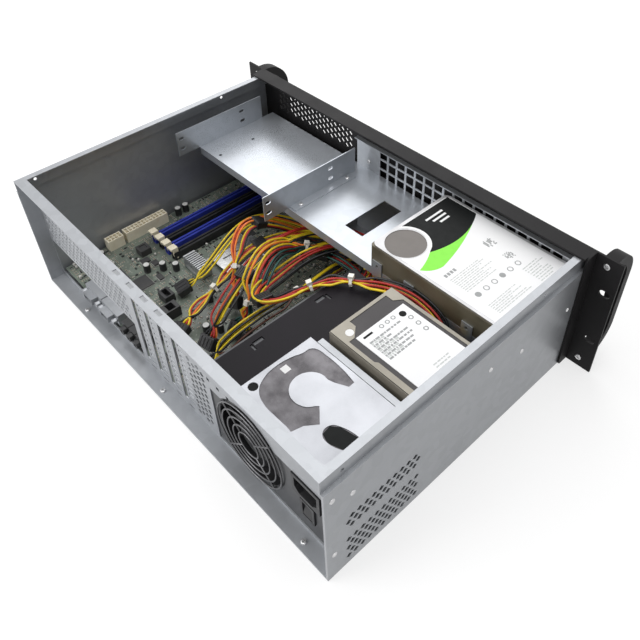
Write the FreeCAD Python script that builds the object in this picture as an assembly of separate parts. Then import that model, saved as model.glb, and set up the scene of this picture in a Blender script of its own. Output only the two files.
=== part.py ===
"""A 3U short rackmount server case with its top cover off and its contents in place.

Millimetres, +Z up, +X to the right when the front panel is seen from outside it at -Y.
The origin is where a rack's mounting plane, the case's middle and its underside meet.
"""
import FreeCAD, Part
import math
import os

V = FreeCAD.Vector

# ---------------------------------------------------------------- case: driving dimensions
SHEET = 1.0                   # galvanised sheet of the case
PANEL_WIDTH = 482.6           # 19 inch panel with its ears
PANEL_HEIGHT = 132.0          # 3U
PANEL_SHEET = 2.0
BODY_WIDTH = 430.0
BODY_DEPTH = 298.0            # behind the mounting plane
STEP_HEIGHT = 13.0            # band round the top that the cover's skirt laps
STEP_IN = 3.0
RIM_WIDTH = 6.5
PANEL_FLANGE = 15.0           # panel's top flange, behind the mounting plane
EAR_FLANGE = 13.0
EAR_FLANGE_ROUND = 4.0
RACK_HOLE_RISE = 57.2         # between the heights of an ear's two slots
EAR_SLOT_LENGTH = 10.0
EAR_SLOT_RADIUS = 3.4
EAR_SLOT_INSET = 8.8          # from the ear's end to the slot's middle
COVER_SCREW_RADIUS = 1.7
COVER_SCREW_DROP = 6.5        # below the rim
COVER_SCREW_INSETS = (63.0, 279.0)

# ---------------------------------------------------------------- handles
HANDLE_WIDTH = 12.0
HANDLE_BAR = 9.0
HANDLE_REACH = 38.0
HANDLE_INSET = 13.8           # from the ear's end to the handle's middle
HANDLE_MARGIN = 5.0           # from the panel's lower and upper edge
HANDLE_SCREW_RADIUS = 3.6     # flush heads, sunk in the rear of the ears
HANDLE_SCREW_DEPTH = 1.4
SCREW_SEAT_GAP = 0.1

# ---------------------------------------------------------------- vents
VENT_PITCH = 7.0              # staggered rows of square holes that stand on a corner
VENT_SIZE = 4.14              # across the flats
VENT_EDGE = 7.0               # first hole's middle, inside the panel's opening
SIDE_VENT_INSET = 6.0         # from the rear panel's inner face
SIDE_VENT_RUN = 70.0
SIDE_VENT_LOW = 10.2
SIDE_VENT_HIGH = 65.0
SIDE_VENT_PLAIN_ROWS = (5, 6)
REAR_VENT_LOW = 55.5
REAR_VENT_ROWS = 6
STRIP_VENT_COLUMNS = 4
STRIP_VENT_GAP = 14.34        # beside the last slot's middle
SQUARE_HOLE = 3.6
SQUARE_HOLE_COUNT = 4
SQUARE_HOLE_PITCH = 12.5
SQUARE_HOLE_INSET = 8.5       # from the supply's left side
SQUARE_HOLE_Z = 81.5
BAY_VENT_MARGIN = 7.0         # round the field of holes in front of the 5.25 inch bay
BAY_VENT_RIGHT = 20.0         # beside the divider
BAY_VENT_HEIGHT = 22.0

# ---------------------------------------------------------------- rear panel
REAR_RECESS = 14.0            # rear panel behind the body's rear edge
REAR_STEP = 5.0
IO_WIDTH = 158.75
IO_HEIGHT = 44.45
IO_BOTTOM = 6.0
IO_SIDE_GAP = 3.25            # from the opening to the wall's outer face
SLOT_COUNT = 4
SLOT_PITCH = 20.32
SLOT_FIRST_OFFSET = 175.45    # from the connector opening's left edge
SLOT_WIDTH = 16.0
SLOT_BOTTOM = 13.0
SLOT_TOP_MARGIN = 5.0         # under the step of the wall
TAB_NOTCH_WIDTH = 8.0
TAB_NOTCH_DEPTH = 3.4
TAB_SLOT_RISE = 4.0           # a cover's foot stands in this slot
TAB_SLOT_HEIGHT = 2.0
VENT_TURN = 45.0              # square holes stand on a corner
COVER_SHEET = 0.8
COVER_OVERLAP = 1.5           # slot cover's lap on its right
COVER_GAP = 3.0               # left open beside it
COVER_FOOT = 4.0
COVER_VENT_ROWS = 12
COVER_VENT_PITCH = 6.4
COVER_VENT_START = 7.0
COVER_VENT_WIDTH = 7.5
COVER_VENT_HEIGHT = 2.6

# ---------------------------------------------------------------- drive tray and bay
TRAY_DROP = 42.0              # deck below the body's top
TRAY_FRONT = 7.0
TRAY_REAR = 109.0
TRAY_LIP = 9.0
TRAY_SIDE_FLANGE = 16.0
TRAY_SIDE_START = 6.0         # behind the tray's front
TRAY_FRONT_INSET = 12.0       # front lip stops short of the right wall
TRAY_WINDOW_LEFT = -11.5
TRAY_WINDOW_WIDTH = 23.0
TRAY_WINDOW_START = 26.5      # behind the tray's front
TRAY_WINDOW_LENGTH = 53.5
TRAY_HOLE_RADIUS = 1.8
TRAY_HOLES = ((166.0, 6.7), (166.4, 50.9))    # X, and inside the tray's rear
BAY_WALL_GAP = 20.0           # from the bay's left flange to the body's side
BAY_WIDTH = 148.0             # between flange and divider, for a 5.25 inch device
BAY_FLANGE_HEIGHT = 28.0
BAY_FLANGE_START = 16.0       # behind the tray's front
BAY_FLANGE_OVERHANG = 26.0    # behind the tray's rear
BAY_HOLE_SPACING = 79.25
BAY_HOLE_RISE = 11.8
BAY_HOLE_FIRST_RISE = 8.2
BAY_HOLE_INSET = 5.5
BAY_HOLE_LENGTH = 6.2
BAY_HOLE_HEIGHT = 3.6
BAY_HOLE_CHAMFER = 1.0
DIVIDER_START = 12.0          # behind the tray's front
DIVIDER_OVERHANG = 29.0
DIVIDER_FOOT = 9.0
DIVIDER_FOOT_START = 20.0
DIVIDER_FOOT_END = 2.0
DIVIDER_SCREW_INSETS = (74.2, 12.1)           # from the tray's rear
DIVIDER_SCREW_RADIUS = 2.6

# ---------------------------------------------------------------- front grille
GRILLE_FRONT = 6.0
GRILLE_TOP_DROP = 9.0
GRILLE_LEFT_GAP = 161.0       # from the body's left side
GRILLE_RIGHT_GAP = 8.0        # from the right wall's inner face
GRILLE_RIM = 4.0
GRILLE_FOOT = 10.0
GRILLE_PITCH = 12.0
GRILLE_ROW_PITCH = 11.6
GRILLE_HOLE = 9.5
GRILLE_ROWS = 3
GRILLE_COLUMNS = 18
GRILLE_FIRST_INSET = 37.7     # from the plate's left edge to the first hole's middle
GRILLE_BAND = 2.2             # over the upper row
GRILLE_SCREW_INSET = 17.0
GRILLE_SCREW_DROP = 24.0

# ---------------------------------------------------------------- power supply
PSU_WIDTH = 150.0
PSU_HEIGHT = 86.0
PSU_DEPTH = 140.0
PSU_SHEET = 0.8
PSU_WALL_GAP = 7.5            # from the body's right side
PSU_SEAT = 0.3                # between the supply and the floor
PSU_OPEN_LEFT = 8.5           # edges of the rear panel's opening, inside the supply's
PSU_OPEN_RIGHT = 11.0
PSU_OPEN_BOTTOM = 3.7
PSU_OPEN_HEIGHT = 66.0
FAN_SIZE = 80.0
FAN_DEPTH = 25.0
FAN_BORE = 76.0
FAN_INSET = 54.5              # from the supply's left side
FAN_HUB = 36.0
FAN_BLADES = 7
FAN_TIP_GAP = 1.5
FAN_MOUNT = 3.0               # thickness of the motor's plate and arms
FAN_ARM_WIDTH = 4.0
FAN_ARM_LAP = 0.8
FAN_ARM_COUNT = 4
FAN_ARM_TURN = 45.0
FAN_SHAFT = 15.0
ROTOR_GAP = 3.0               # behind the housing's rear face
ROTOR_LENGTH = 17.0
ROTOR_BORE = 13.0
BLADE_SECTION = ((1.0, -5.0), (2.6, -6.0), (16.0, 7.0), (14.4, 8.0))
SHAFT_RADIUS = 1.5
SHAFT_GAP = 0.05
GUARD_WIRE = 1.6
GUARD_STAND = 1.0
GUARD_SPOKE_FOOT = 2.4        # length of the spokes' bent ends
GUARD_RADII = (12.0, 19.0, 26.0, 33.0, 39.5)
FAN_WINDOW = 42.0             # round the fan, in the case's rear panel
INLET_INSET = 28.5            # from the supply's right side
INLET_RISE = 57.2             # over the supply's bottom
INLET_WIDTH = 27.0
INLET_HEIGHT = 20.0
INLET_DEPTH = 22.0
INLET_RIM = 1.5
INLET_STAND = 2.0
INLET_SOCKET = ((-12.0, 8.0), (12.0, 8.0), (12.0, -3.0), (7.0, -8.0), (-7.0, -8.0), (-12.0, -3.0))
INLET_SOCKET_DEPTH = 15.0
INLET_BLADES = ((-7.0, -1.0), (0.0, 3.0), (7.0, -1.0))
INLET_BLADE_WIDTH = 2.0
INLET_BLADE_HEIGHT = 4.0
INLET_BLADE_LENGTH = 9.0
SWITCH_RISE = 31.7
SWITCH_WIDTH = 13.0
SWITCH_HEIGHT = 19.5
SWITCH_DEPTH = 16.0
SWITCH_WALL = 1.2
SWITCH_RIM = 1.2
SWITCH_STAND = 1.6
SWITCH_WELL = 12.0
ROCKER_TILT = 8.0
ROCKER_PIN = 1.2
ROCKER_PIN_DEPTH = 2.0        # pin's middle, inside the supply's rear face
ROCKER_PIN_REACH = 0.9
ROCKER_PIN_WALL = 0.4         # left outside the pin's bore
ROCKER_END_GAP = 0.6
ROCKER_SIDE_GAP = 0.25
ROCKER_BACK = 3.0
ROCKER_TIP = 2.4
ROCKER_DIP = 1.6
ROCKER_TAPER = 1.6
ROTOR_ROOT_LAP = 1.0          # blades reach into the hub
GLAND_INSET = 1.5
GLAND_WIDTH = 50.0
GLAND_RISE = 47.7
GLAND_HEIGHT = 28.0
GLAND_DEPTH = 3.0

# ---------------------------------------------------------------- motherboard
BOARD_WIDTH = 244.0
BOARD_DEPTH = 244.0
BOARD_THICK = 1.6
BOARD_WALL_GAP = 4.0          # from the body's left side
BOARD_REAR_GAP = 1.5
STANDOFF_HEIGHT = 6.5
STANDOFF_RADIUS = 3.0
STANDOFF_SIDE_INSET = 7.0
STANDOFF_END_INSET = 6.5
STANDOFF_MIDDLE = (119.0, 121.5)      # from the board's left and rear edges
STANDOFF_SIDES = 6
SOCKET_HEIGHT = 12.8
SOCKET_WIDTH = 10.0
SOCKET_INSET = 6.0            # from the board's left edge to the power sockets' middle
PIN_PITCH = 4.2
PIN_WELL = 3.0
PIN_WELL_DEPTH = 4.0
SOCKET_END = 0.7
SOCKET_RIB = 1.2
SOCKET_RIB_LENGTH = 6.0
SOCKET_RIB_FOOT = 2.0
SOCKET_RIB_HEAD = 1.0
BIG_SOCKET_PINS = 12
BIG_SOCKET_SETBACK = 120.5    # from the board's rear edge to the socket's front
SMALL_SOCKET_PINS = 4
SMALL_SOCKET_SETBACK = 65.5
DIMM_COUNT = 4
DIMM_PITCH = 12.5
DIMM_WIDTH = 6.6
DIMM_HEIGHT = 9.5
DIMM_LENGTH = 140.0
DIMM_INSET = 31.0             # from the board's left edge to the first socket's middle
DIMM_SETBACK = 89.5           # from the board's rear edge
DIMM_GROOVE = 1.8
DIMM_GROOVE_FLOOR = 3.0
DIMM_GROOVE_START = 6.0
DIMM_GROOVE_END = 2.0         # in front of the latch
DIMM_FORK_ROOM = 1.5
DIMM_POST_SLOT_START = 3.0
DIMM_FORK_WALL = 1.0
DIMM_FORK_FLOOR = 0.4
DIMM_POST_LENGTH = 5.0
DIMM_POST_RISE = 5.0
LATCH_LENGTH = 7.0
LATCH_GAP = 0.3
LATCH_PIN = 1.0
LATCH_PIN_INSET = 0.1
LATCH_PIVOT_RISE = 3.0
LATCH_SIDE = ((-2.2, -1.6), (1.8, -1.6), (2.6, 3.0), (2.6, 8.0), (6.5, 12.0), (6.5, 14.0), (-1.5, 14.0),
              (-2.6, 12.0), (-2.6, 2.0))
LATCH_PAD = ((1.5, 9.5), (6.5, 12.0), (6.5, 14.0), (-1.5, 14.0), (-1.5, 9.5))
LATCH_PAD_LAP = 0.6
HEATSINK_PLACE = (101.0, 98.5)        # middle, from the board's left and rear edges
HEATSINK_WIDTH = 30.0
HEATSINK_DEPTH = 14.0
HEATSINK_HEIGHT = 15.0
HEATSINK_BASE = 5.0
HEATSINK_CHIP = 1.2
HEATSINK_CHIP_INSETS = (6.0, 1.0)
FIN_COUNT = 10
FIN_SLOT_SHARE = 0.56
# Places are middles from the board's left edge, or from its right edge when they are below zero, and
# from its rear edge. Width, depth and height come after them.
CHIPS = ((77.0, 45.5, 18.0, 18.0, 1.6), (53.0, 35.5, 20.0, 10.0, 2.4), (51.0, 65.5, 7.0, 9.0, 3.0),
         (61.0, 71.5, 8.0, 6.0, 3.0), (83.0, 63.5, 9.0, 5.0, 3.0), (181.0, 19.5, 16.0, 16.0, 1.6),
         (-19.0, 91.5, 14.0, 20.0, 1.6), (91.0, 171.5, 12.0, 12.0, 1.6))
CAPACITORS = ((74.0, 73.0), (84.0, 82.5), (145.0, 81.5), (177.0, 55.5), (185.0, 65.5), (15.0, 35.5),
              (65.0, 59.5), (8.0, 135.5), (8.0, 145.5), (175.0, 121.5), (-13.0, 53.5))
CAPACITOR_SIDES = 10
CAPACITOR_RADIUS = 4.0
CAPACITOR_HEIGHT = 11.0
CHOKE = (37.0, 72.5, 12.0, 12.0, 8.0)
CHOKE_WALL = 2.5
CHOKE_DIP = 0.8
HEADERS = ((113.0, 52.5, 14.0, 11.0, 9.0), (135.0, 43.5, 12.0, 16.0, 12.0), (147.0, 19.5, 20.0, 8.0, 8.0))
HEADER_WALL = 1.5
HEADER_FLOOR = 2.0
HEADER_SLOT_SHARE = 0.5
CPU_SOCKET = (122.0, 142.5, 46.0, 54.0, 5.0)
CPU_PLATE = 1.2
CPU_FRAME_INSET = 4.0
CPU_WINDOW_INSET = 9.0
CPU_LEVER_RADIUS = 1.0
CPU_LEVER_OFFSET = 0.6
CPU_LEVER_OVERHANG = 6.0
PORT_PLACES = (64.5, 96.5)            # middles, from the board's left edge
PORT_WIDTH = 30.8
PORT_HEIGHT = 12.5
PORT_DEPTH = 12.0
PORT_GAP = 1.2                # body to the rear panel's inner face
PORT_SHELL = ((-8.0, 10.4), (8.0, 10.4), (7.0, 2.4), (-7.0, 2.4))
PORT_HOLLOW = ((-7.2, 9.7), (7.2, 9.7), (6.3, 3.1), (-6.3, 3.1))
PORT_STAND = 5.0
PORT_NUT = 4.8
PORT_NUT_LENGTH = 4.0
PORT_NUT_SIDES = 6
PORT_NUT_START = 1.0          # inside the rear panel's outer face
PORT_NUT_SPREAD = 12.5
PORT_NUT_RISE = 6.4
PORT_GRIP = 3.0
PORT_GRIP_LAP = 2.0
JACK_PLACES = (125.0, 137.0, 149.0)
JACK_WIDTH = 11.2
JACK_HEIGHT = 12.0
JACK_DEPTH = 13.0
JACK_RISE = 6.2
JACK_RING = 4.2
JACK_BORE = 1.8
JACK_BORE_DEPTH = 9.0
JACK_STAND = 2.5

# ---------------------------------------------------------------- drives
HDD_LENGTH = 147.0
HDD_WIDTH = 101.6
HDD_HEIGHT = 26.1
HDD_COVER = 1.5
HDD_WALL_GAP = 0.5            # from the right wall's inner face
HDD_SEAT_GAP = 0.2            # behind the tray's front lip
HDD_REAR_GAP = 1.0            # between the drive and the tray's rear edge, less its seat gap
HDD_ROUND = 3.0
HDD_COVER_INSET = 0.8
HDD_COVER_ROUND = 6.0
HDD_HUB_RADIUS = 18.5
HDD_HUB_INSET = (22.0, 21.3)          # from the drive's left side and its rear
HDD_HUB_DIP = 0.5
HDD_LABEL_INSETS = (6.0, 4.0)         # from the drive's right and left sides
HDD_LABEL_MARGIN = 3.5
HDD_LABEL_ROUND = 4.0
HDD_LABEL_HUB_GAP = 1.5
HDD_TAB_SETBACKS = (9.5, 46.5, 109.5)         # from the drive's left side
HDD_TAB_WIDTH = 11.0
HDD_TAB_HEIGHT = 10.0
HDD_TAB_HOLE_RISE = 5.0
LABEL_THICK = 0.2
SMALL_LENGTH = 100.0
SMALL_WIDTH = 69.85
BRACKET_CLEARANCE = 0.2       # between the supply and the drives' bracket
BRACKET_OVERHANG = 20.0       # in front of the supply
BRACKET_REAR_GAP = 2.0
BRACKET_INSET = 2.5           # from the supply's left side
BRACKET_FLANGE = 9.0
BRACKET_SLOT_INSET = 7.5
BRACKET_SLOT_SPREAD = 33.0
BRACKET_SLOT_WIDTH = 4.0
BRACKET_SLOT_LENGTH = 10.0
BRACKET_CROSS_SPREAD = 39.96
BRACKET_CROSS_WIDTH = 2.4
BRACKET_CROSS_REACH = (6.0, 1.0)
ANGLE_GAP = 0.2               # in front of the bare drive
ANGLE_DEPTH = 5.5
ANGLE_DROP = 0.5              # below the bare drive's top
ANGLE_START = 47.0            # from the bracket's left edge
ANGLE_LENGTH = 96.0
ANGLE_HOLE_RADIUS = 1.6
ANGLE_HOLE_INSET = 11.0
ANGLE_HOLE_DROP = 4.0
BARE_INSET = 39.4             # from the bracket's left edge
BARE_REAR_INSET = 4.05        # from the bracket's rear edge
BARE_HEIGHT = 9.5
BARE_PLATE = 1.2
BARE_PLATE_INSET = 0.5
BARE_HUB_INSET = (36.8, 34.85)        # from the drive's left side and its rear
BARE_HUB_RADIUS = 14.5
BARE_DISC_RADIUS = 30.5
BARE_RECESS = 0.7
BARE_EDGE = 3.0
# Outlines from the hub's middle.
BARE_NECK = ((0.0, -6.0), (-11.0, -13.0), (-24.0, -25.5), (-32.0, -25.0), (-32.0, 34.0), (-27.0, 34.0),
             (-27.0, 20.0), (-32.0, 14.0), (-16.0, 4.0), (0.0, 6.0))
BARE_WINDOW = ((-38.0, 15.5), (-64.0, 10.5), (-64.0, -2.5), (-38.0, 3.5))
BARE_NOSE = (-38.5, 9.6)
BARE_NOSE_RADIUS = 6.2
BARE_DOT = (30.5, 27.0)
BARE_DOT_RADIUS = 4.0
DARK_INSET = 49.4
DARK_FRONT_INSET = 3.6        # from the bracket's front edge
DARK_HEIGHT = 15.0
DARK_PLATE = 1.2
DARK_PLATE_INSET = 0.4
DARK_BORDER = 3.2
DARK_FIELD_DIP = 0.5
DARK_FIELD_STEP = 2.0
# Outlines of the sunken field, from the plate's front left and its rear left corner.
DARK_FIELD_FRONT = ((-3.2, 10.0), (-11.0, 10.0), (-16.0, 3.2))
DARK_FIELD_REAR = ((-48.0, -5.2), (-45.0, -3.2), (-18.0, -3.2), (-18.0, -9.0), (-10.0, -18.0), (-3.2, -18.0))
DARK_LABEL_INSETS = (4.5, 19.5, 7.0, 9.85)    # right, left, front, rear
DARK_LABEL_THICK = 0.6

# ---------------------------------------------------------------- fasteners
RIVET_RADIUS = 2.6
RIVET_HEIGHT = 1.0
RIVET_REAR_INSET = 7.0
RIVET_REAR_RISES = (104.0, 31.5)
RIVET_BRACKET_RISE = 4.0      # over the small drives' bracket
RIVET_BRACKET_INSETS = (150.0, 5.5)           # from the bracket's front edge
RIVET_TRAY_DROP = 9.0
RIVET_TRAY_INSETS = (79.0, 14.5)              # from the tray's front
SCREW_RADIUS = 2.8
SCREW_HEIGHT = 1.4
FLOOR_SCREWS = (147.4, 9.9, -181.7)
FLOOR_SCREW_INSET = 6.0

# ---------------------------------------------------------------- cable looms
# Middle lines through these corners, from the supply's bush to the plug.
LOOM_ROUTES = {
    "loom_main": [(-78, 140, 70), (-78, 118, 70), (-62, 103, 61), (-38, 95, 57), (-10, 94, 54), (14, 101, 52),
                  (26, 120, 57), (25, 139, 68), (18, 158, 75), (10, 176, 70), (5, 189, 57), (3, 197, 41),
                  (4, 205, 26)],
    "loom_side": [(-66, 140, 56), (-66, 118, 56), (-64, 97, 54), (-54, 81, 51), (-38, 76, 48), (-23, 82, 46),
                  (-14, 97, 45), (-15, 118, 46), (-19, 143, 49), (-19, 170, 52), (-17, 197, 51),
                  (-14, 220, 45),
                  (-12, 238, 36), (-10, 250, 25)],
    "loom_drives": [(-66, 140, 70), (-66, 120, 70), (-60, 101, 69), (-46, 87, 67), (-27, 83, 65),
                    (-9, 91, 63),
                    (2, 107, 61), (6, 127, 60), (4, 148, 60), (0, 166, 62), (-4, 182, 65), (-14, 194, 70),
                    (-28, 197, 76), (-40, 189, 82), (-48, 174, 88), (-56, 158, 92), (-67, 144, 94),
                    (-83, 135, 95),
                    (-100, 124, 96), (-119, 117, 96), (-139, 116, 94), (-157, 117, 86), (-168, 118, 72)],
    "loom_tall": [(-78, 140, 56), (-78, 118, 56), (-72, 97, 51), (-57, 80, 44), (-35, 71, 38), (-9, 70, 34),
                  (17, 74, 33), (42, 82, 37), (62, 96, 46), (73, 115, 58), (75, 137, 68), (67, 155, 66),
                  (56, 169, 56), (46, 179, 43), (38, 187, 27)],
    "loom_fan": [(-90, 140, 56), (-90, 118, 56), (-85, 95, 51), (-71, 76, 43), (-48, 64, 34), (-20, 59, 26),
                 (10, 58, 22), (40, 60, 21), (69, 66, 22), (91, 77, 26), (103, 93, 33), (104, 114, 41),
                 (98, 137, 45), (91, 159, 42), (86, 179, 34), (86, 195, 25), (89, 207, 21)],
    "loom_board": [(-90, 140, 70), (-90, 118, 70), (-84, 96, 66), (-68, 79, 60), (-45, 71, 54), (-18, 69, 49),
                   (9, 73, 46), (33, 84, 45), (51, 101, 45), (62, 122, 45), (66, 145, 43), (63, 167, 38),
                   (58, 188, 33), (54, 208, 29), (51, 226, 24), (47, 241, 20)],
    "loom_spare": [(-102, 140, 70), (-102, 118, 70), (-96, 96, 67), (-80, 78, 63), (-56, 67, 60),
                   (-28, 62, 58),
                   (-1, 66, 58), (20, 79, 59), (33, 98, 60), (38, 121, 61), (36, 145, 61), (31, 168, 60),
                   (24, 190, 56), (18, 209, 50), (14, 224, 41), (11, 235, 29)],
}
# Width, height and length.
PLUG_SIZES = {
    "loom_main": (24.0, 9.6, 14.0),
    "loom_side": (16.0, 8.0, 14.0),
    "loom_drives": (20.0, 7.0, 12.0),
    "loom_tall": (14.0, 8.0, 12.0),
    "loom_fan": (14.0, 9.0, 14.0),
    "loom_board": (16.0, 9.0, 14.0),
    "loom_spare": (18.0, 9.0, 12.0),
}
# Loom and the number of the straight run.
TIE_PLACES = (("loom_main", 10), ("loom_main", 5), ("loom_side", 8), ("loom_drives", 14), ("loom_drives", 16),
              ("loom_tall", 12), ("loom_board", 12))
LOOM_RADIUS = 3.0
LOOM_SIDES = 8                # of the bundle's outline, which has a circle's area
LOOM_ARC_SHARE = 0.45         # of the shorter run, taken by each arc
PLUG_LATCH_WIDTH = 4.4
PLUG_LATCH_HEIGHT = 1.6
PLUG_LATCH_INSET = 2.0
TIE_BAND = 1.2
TIE_WIDTH = 2.6
TIE_GAP = 0.25
TIE_HEAD_WIDTH = 4.8
TIE_HEAD_LENGTH = 4.4
TIE_HEAD_HEIGHT = 3.6
TIE_HEAD_RISE = 0.6
TIE_SIDES = 8

# ---------------------------------------------------------------- derived sizes
BODY_HEIGHT = PANEL_HEIGHT - PANEL_SHEET
HALF = BODY_WIDTH / 2
INNER_HALF = HALF - SHEET
STEP_Z = BODY_HEIGHT - STEP_HEIGHT
BAND_HALF = HALF - STEP_IN
REAR_FACE = BODY_DEPTH - REAR_RECESS
REAR_INNER = REAR_FACE - SHEET
VENT_ROW_PITCH = VENT_PITCH * math.sin(math.radians(60))
EAR_END = PANEL_WIDTH / 2
HANDLE_X = EAR_END - HANDLE_INSET
TRAY_TOP = BODY_HEIGHT - TRAY_DROP
TRAY_RIGHT = -INNER_HALF
BAY_FLANGE_X = HALF - BAY_WALL_GAP
DIVIDER_X = BAY_FLANGE_X - SHEET - BAY_WIDTH
GRILLE_TOP = BODY_HEIGHT - GRILLE_TOP_DROP
GRILLE_LEFT = HALF - GRILLE_LEFT_GAP
GRILLE_RIGHT = GRILLE_RIGHT_GAP - INNER_HALF
IO_LEFT = HALF - IO_SIDE_GAP
SLOT_TOP = STEP_Z - SLOT_TOP_MARGIN
BOARD_BOTTOM = SHEET + STANDOFF_HEIGHT
BOARD_TOP = BOARD_BOTTOM + BOARD_THICK
BOARD_LEFT = HALF - BOARD_WALL_GAP
BOARD_RIGHT = BOARD_LEFT - BOARD_WIDTH
BOARD_REAR = REAR_INNER - BOARD_REAR_GAP
BOARD_FRONT = BOARD_REAR - BOARD_DEPTH
DIMM_REAR = BOARD_REAR - DIMM_SETBACK
DIMM_FRONT = DIMM_REAR - DIMM_LENGTH
PSU_RIGHT = PSU_WALL_GAP - HALF
PSU_LEFT = PSU_RIGHT + PSU_WIDTH
PSU_BOTTOM = SHEET + PSU_SEAT
PSU_TOP = PSU_BOTTOM + PSU_HEIGHT
PSU_REAR = REAR_INNER
PSU_FRONT = PSU_REAR - PSU_DEPTH
FAN_X = PSU_LEFT - FAN_INSET
FAN_Z = PSU_BOTTOM + PSU_HEIGHT / 2
INLET_X = PSU_RIGHT + INLET_INSET
INLET_Z = PSU_BOTTOM + INLET_RISE
SWITCH_Z = PSU_BOTTOM + SWITCH_RISE
HDD_RIGHT = HDD_WALL_GAP - INNER_HALF
HDD_LEFT = HDD_RIGHT + HDD_LENGTH
HDD_FRONT = TRAY_FRONT + SHEET + HDD_SEAT_GAP
HDD_REAR = HDD_FRONT + HDD_WIDTH - HDD_REAR_GAP
HDD_TOP = TRAY_TOP + HDD_HEIGHT
HDD_HUB = (HDD_LEFT - HDD_HUB_INSET[0], HDD_REAR - HDD_HUB_INSET[1])
BRACKET_BOTTOM = PSU_TOP + BRACKET_CLEARANCE
BRACKET_TOP = BRACKET_BOTTOM + SHEET
BRACKET_LEFT = PSU_LEFT - BRACKET_INSET
BRACKET_FRONT = PSU_FRONT - BRACKET_OVERHANG
BRACKET_REAR = REAR_INNER - BRACKET_REAR_GAP
BARE_LEFT = BRACKET_LEFT - BARE_INSET
BARE_REAR = BRACKET_REAR - BARE_REAR_INSET
BARE_FRONT = BARE_REAR - SMALL_WIDTH
BARE_TOP = BRACKET_TOP + BARE_HEIGHT
DARK_LEFT = BRACKET_LEFT - DARK_INSET
DARK_FRONT = BRACKET_FRONT + DARK_FRONT_INSET
DARK_TOP = BRACKET_TOP + DARK_HEIGHT

# ---------------------------------------------------------------- how finely round things are cut
PAST = 1.0                    # a cutter reaches this far past what it cuts
TINY = 0.1                    # spare when edges are picked by place or direction
COUNT_SPARE = 0.01            # keeps a whole number of steps whole
FACET_SIZE = 0.2              # of the facets that are counted
FULL_TURN = 360.0
BORE_SIDES = 8
PIN_SIDES = 12
RING_SIDES = 16
ROUND_SIDES = 32

os.makedirs("parts", exist_ok=True)


# ---------------------------------------------------------------- helpers
def box(x0, x1, y0, y1, z0, z1):
    """Box between two corners, given in any order."""
    low = V(min(x0, x1), min(y0, y1), min(z0, z1))
    return Part.makeBox(abs(x1 - x0), abs(y1 - y0), abs(z1 - z0), low)


def rod(radius, start, end):
    """Round bar from one point to another."""
    along = V(*end) - V(*start)
    return Part.makeCylinder(radius, along.Length, V(*start), along)


def prism(points, along):
    """Solid made by moving a flat outline along a vector."""
    corners = [V(*p) for p in points]
    face = Part.Face(Part.makePolygon(corners + corners[:1]))
    return face.extrude(V(*along))


def profile_x(points, x0, x1):
    """Outline in Y and Z, extruded along X."""
    return prism([(x0, y, z) for y, z in points], (x1 - x0, 0, 0))


def profile_y(points, y0, y1):
    """Outline in X and Z, extruded along Y."""
    return prism([(x, y0, z) for x, z in points], (0, y1 - y0, 0))


def profile_z(points, z0, z1):
    """Outline in X and Y, extruded along Z."""
    return prism([(x, y, z0) for x, y in points], (0, 0, z1 - z0))


def fuse(shapes):
    """One solid from shapes that share faces or overlap."""
    first, rest = shapes[0], shapes[1:]
    joined = first.fuse(rest) if rest else first
    return joined.removeSplitter()


def cut(shape, tools):
    """Shape with every tool taken away."""
    return shape.cut(Part.makeCompound(tools)) if tools else shape


def stud(sides, radius, start, end):
    """Small prism between two points with a regular outline inside a circle."""
    along = V(*end) - V(*start)
    turned = FreeCAD.Rotation(V(0, 0, 1), along)
    angles = [math.tau * (k + 1 / 2) / sides for k in range(sides)]
    corners = [V(*start) + turned.multVec(V(radius * math.cos(a), radius * math.sin(a), 0)) for a in angles]
    return Part.Face(Part.makePolygon(corners + corners[:1])).extrude(along)


def polygon_hole(sides, size, centre, along, turn=0):
    """Prism with a regular outline of the given size across its flats, centred on a point."""
    direction = V(*along)
    radius = size / 2 / math.cos(math.pi / sides)
    turned = FreeCAD.Rotation(V(0, 0, 1), direction)
    start = V(*centre) - direction / 2
    corners = []
    for k in range(sides):
        angle = math.radians(turn) + math.tau * (k + 1 / 2) / sides
        corner = V(radius * math.cos(angle), radius * math.sin(angle), 0)
        corners.append(start + turned.multVec(corner))
    return Part.Face(Part.makePolygon(corners + corners[:1])).extrude(direction)


def rounded_slab(x0, x1, y0, y1, z0, z1, radius):
    """Slab whose upright corners are rounded."""
    slab = box(x0, x1, y0, y1, z0, z1)
    upright = [e for e in slab.Edges if abs(e.tangentAt(e.FirstParameter).z) > 1 - TINY]
    return slab.makeFillet(radius, upright)


def save(name, shape):
    """Write one node and report its solids, volume and facets."""
    shape.exportStep("parts/" + name + ".step")
    facets = len(shape.tessellate(FACET_SIZE)[1])
    print(f"{name:24s} solids {len(shape.Solids):3d} volume {shape.Volume:11.1f} facets {facets:5d}")
    save.facets += facets


save.facets = 0


def lattice(first, last, low, high, skip=()):
    """Places of a staggered vent field: pairs of a coordinate and a height."""
    places = []
    rows = int((high - low) / VENT_ROW_PITCH + COUNT_SPARE) + 1
    for row in range(rows):
        if row in skip:
            continue
        shift = VENT_PITCH / 2 if row % 2 else 0
        count = int((abs(last - first) - shift) / VENT_PITCH + COUNT_SPARE) + 1
        step = VENT_PITCH if last > first else -VENT_PITCH
        sign = 1 if last > first else -1
        for k in range(count):
            places.append((first + sign * shift + k * step, low + row * VENT_ROW_PITCH))
    return places


def across(middle, width):
    """Both ends of a width round its middle."""
    return middle - width / 2, middle + width / 2


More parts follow.
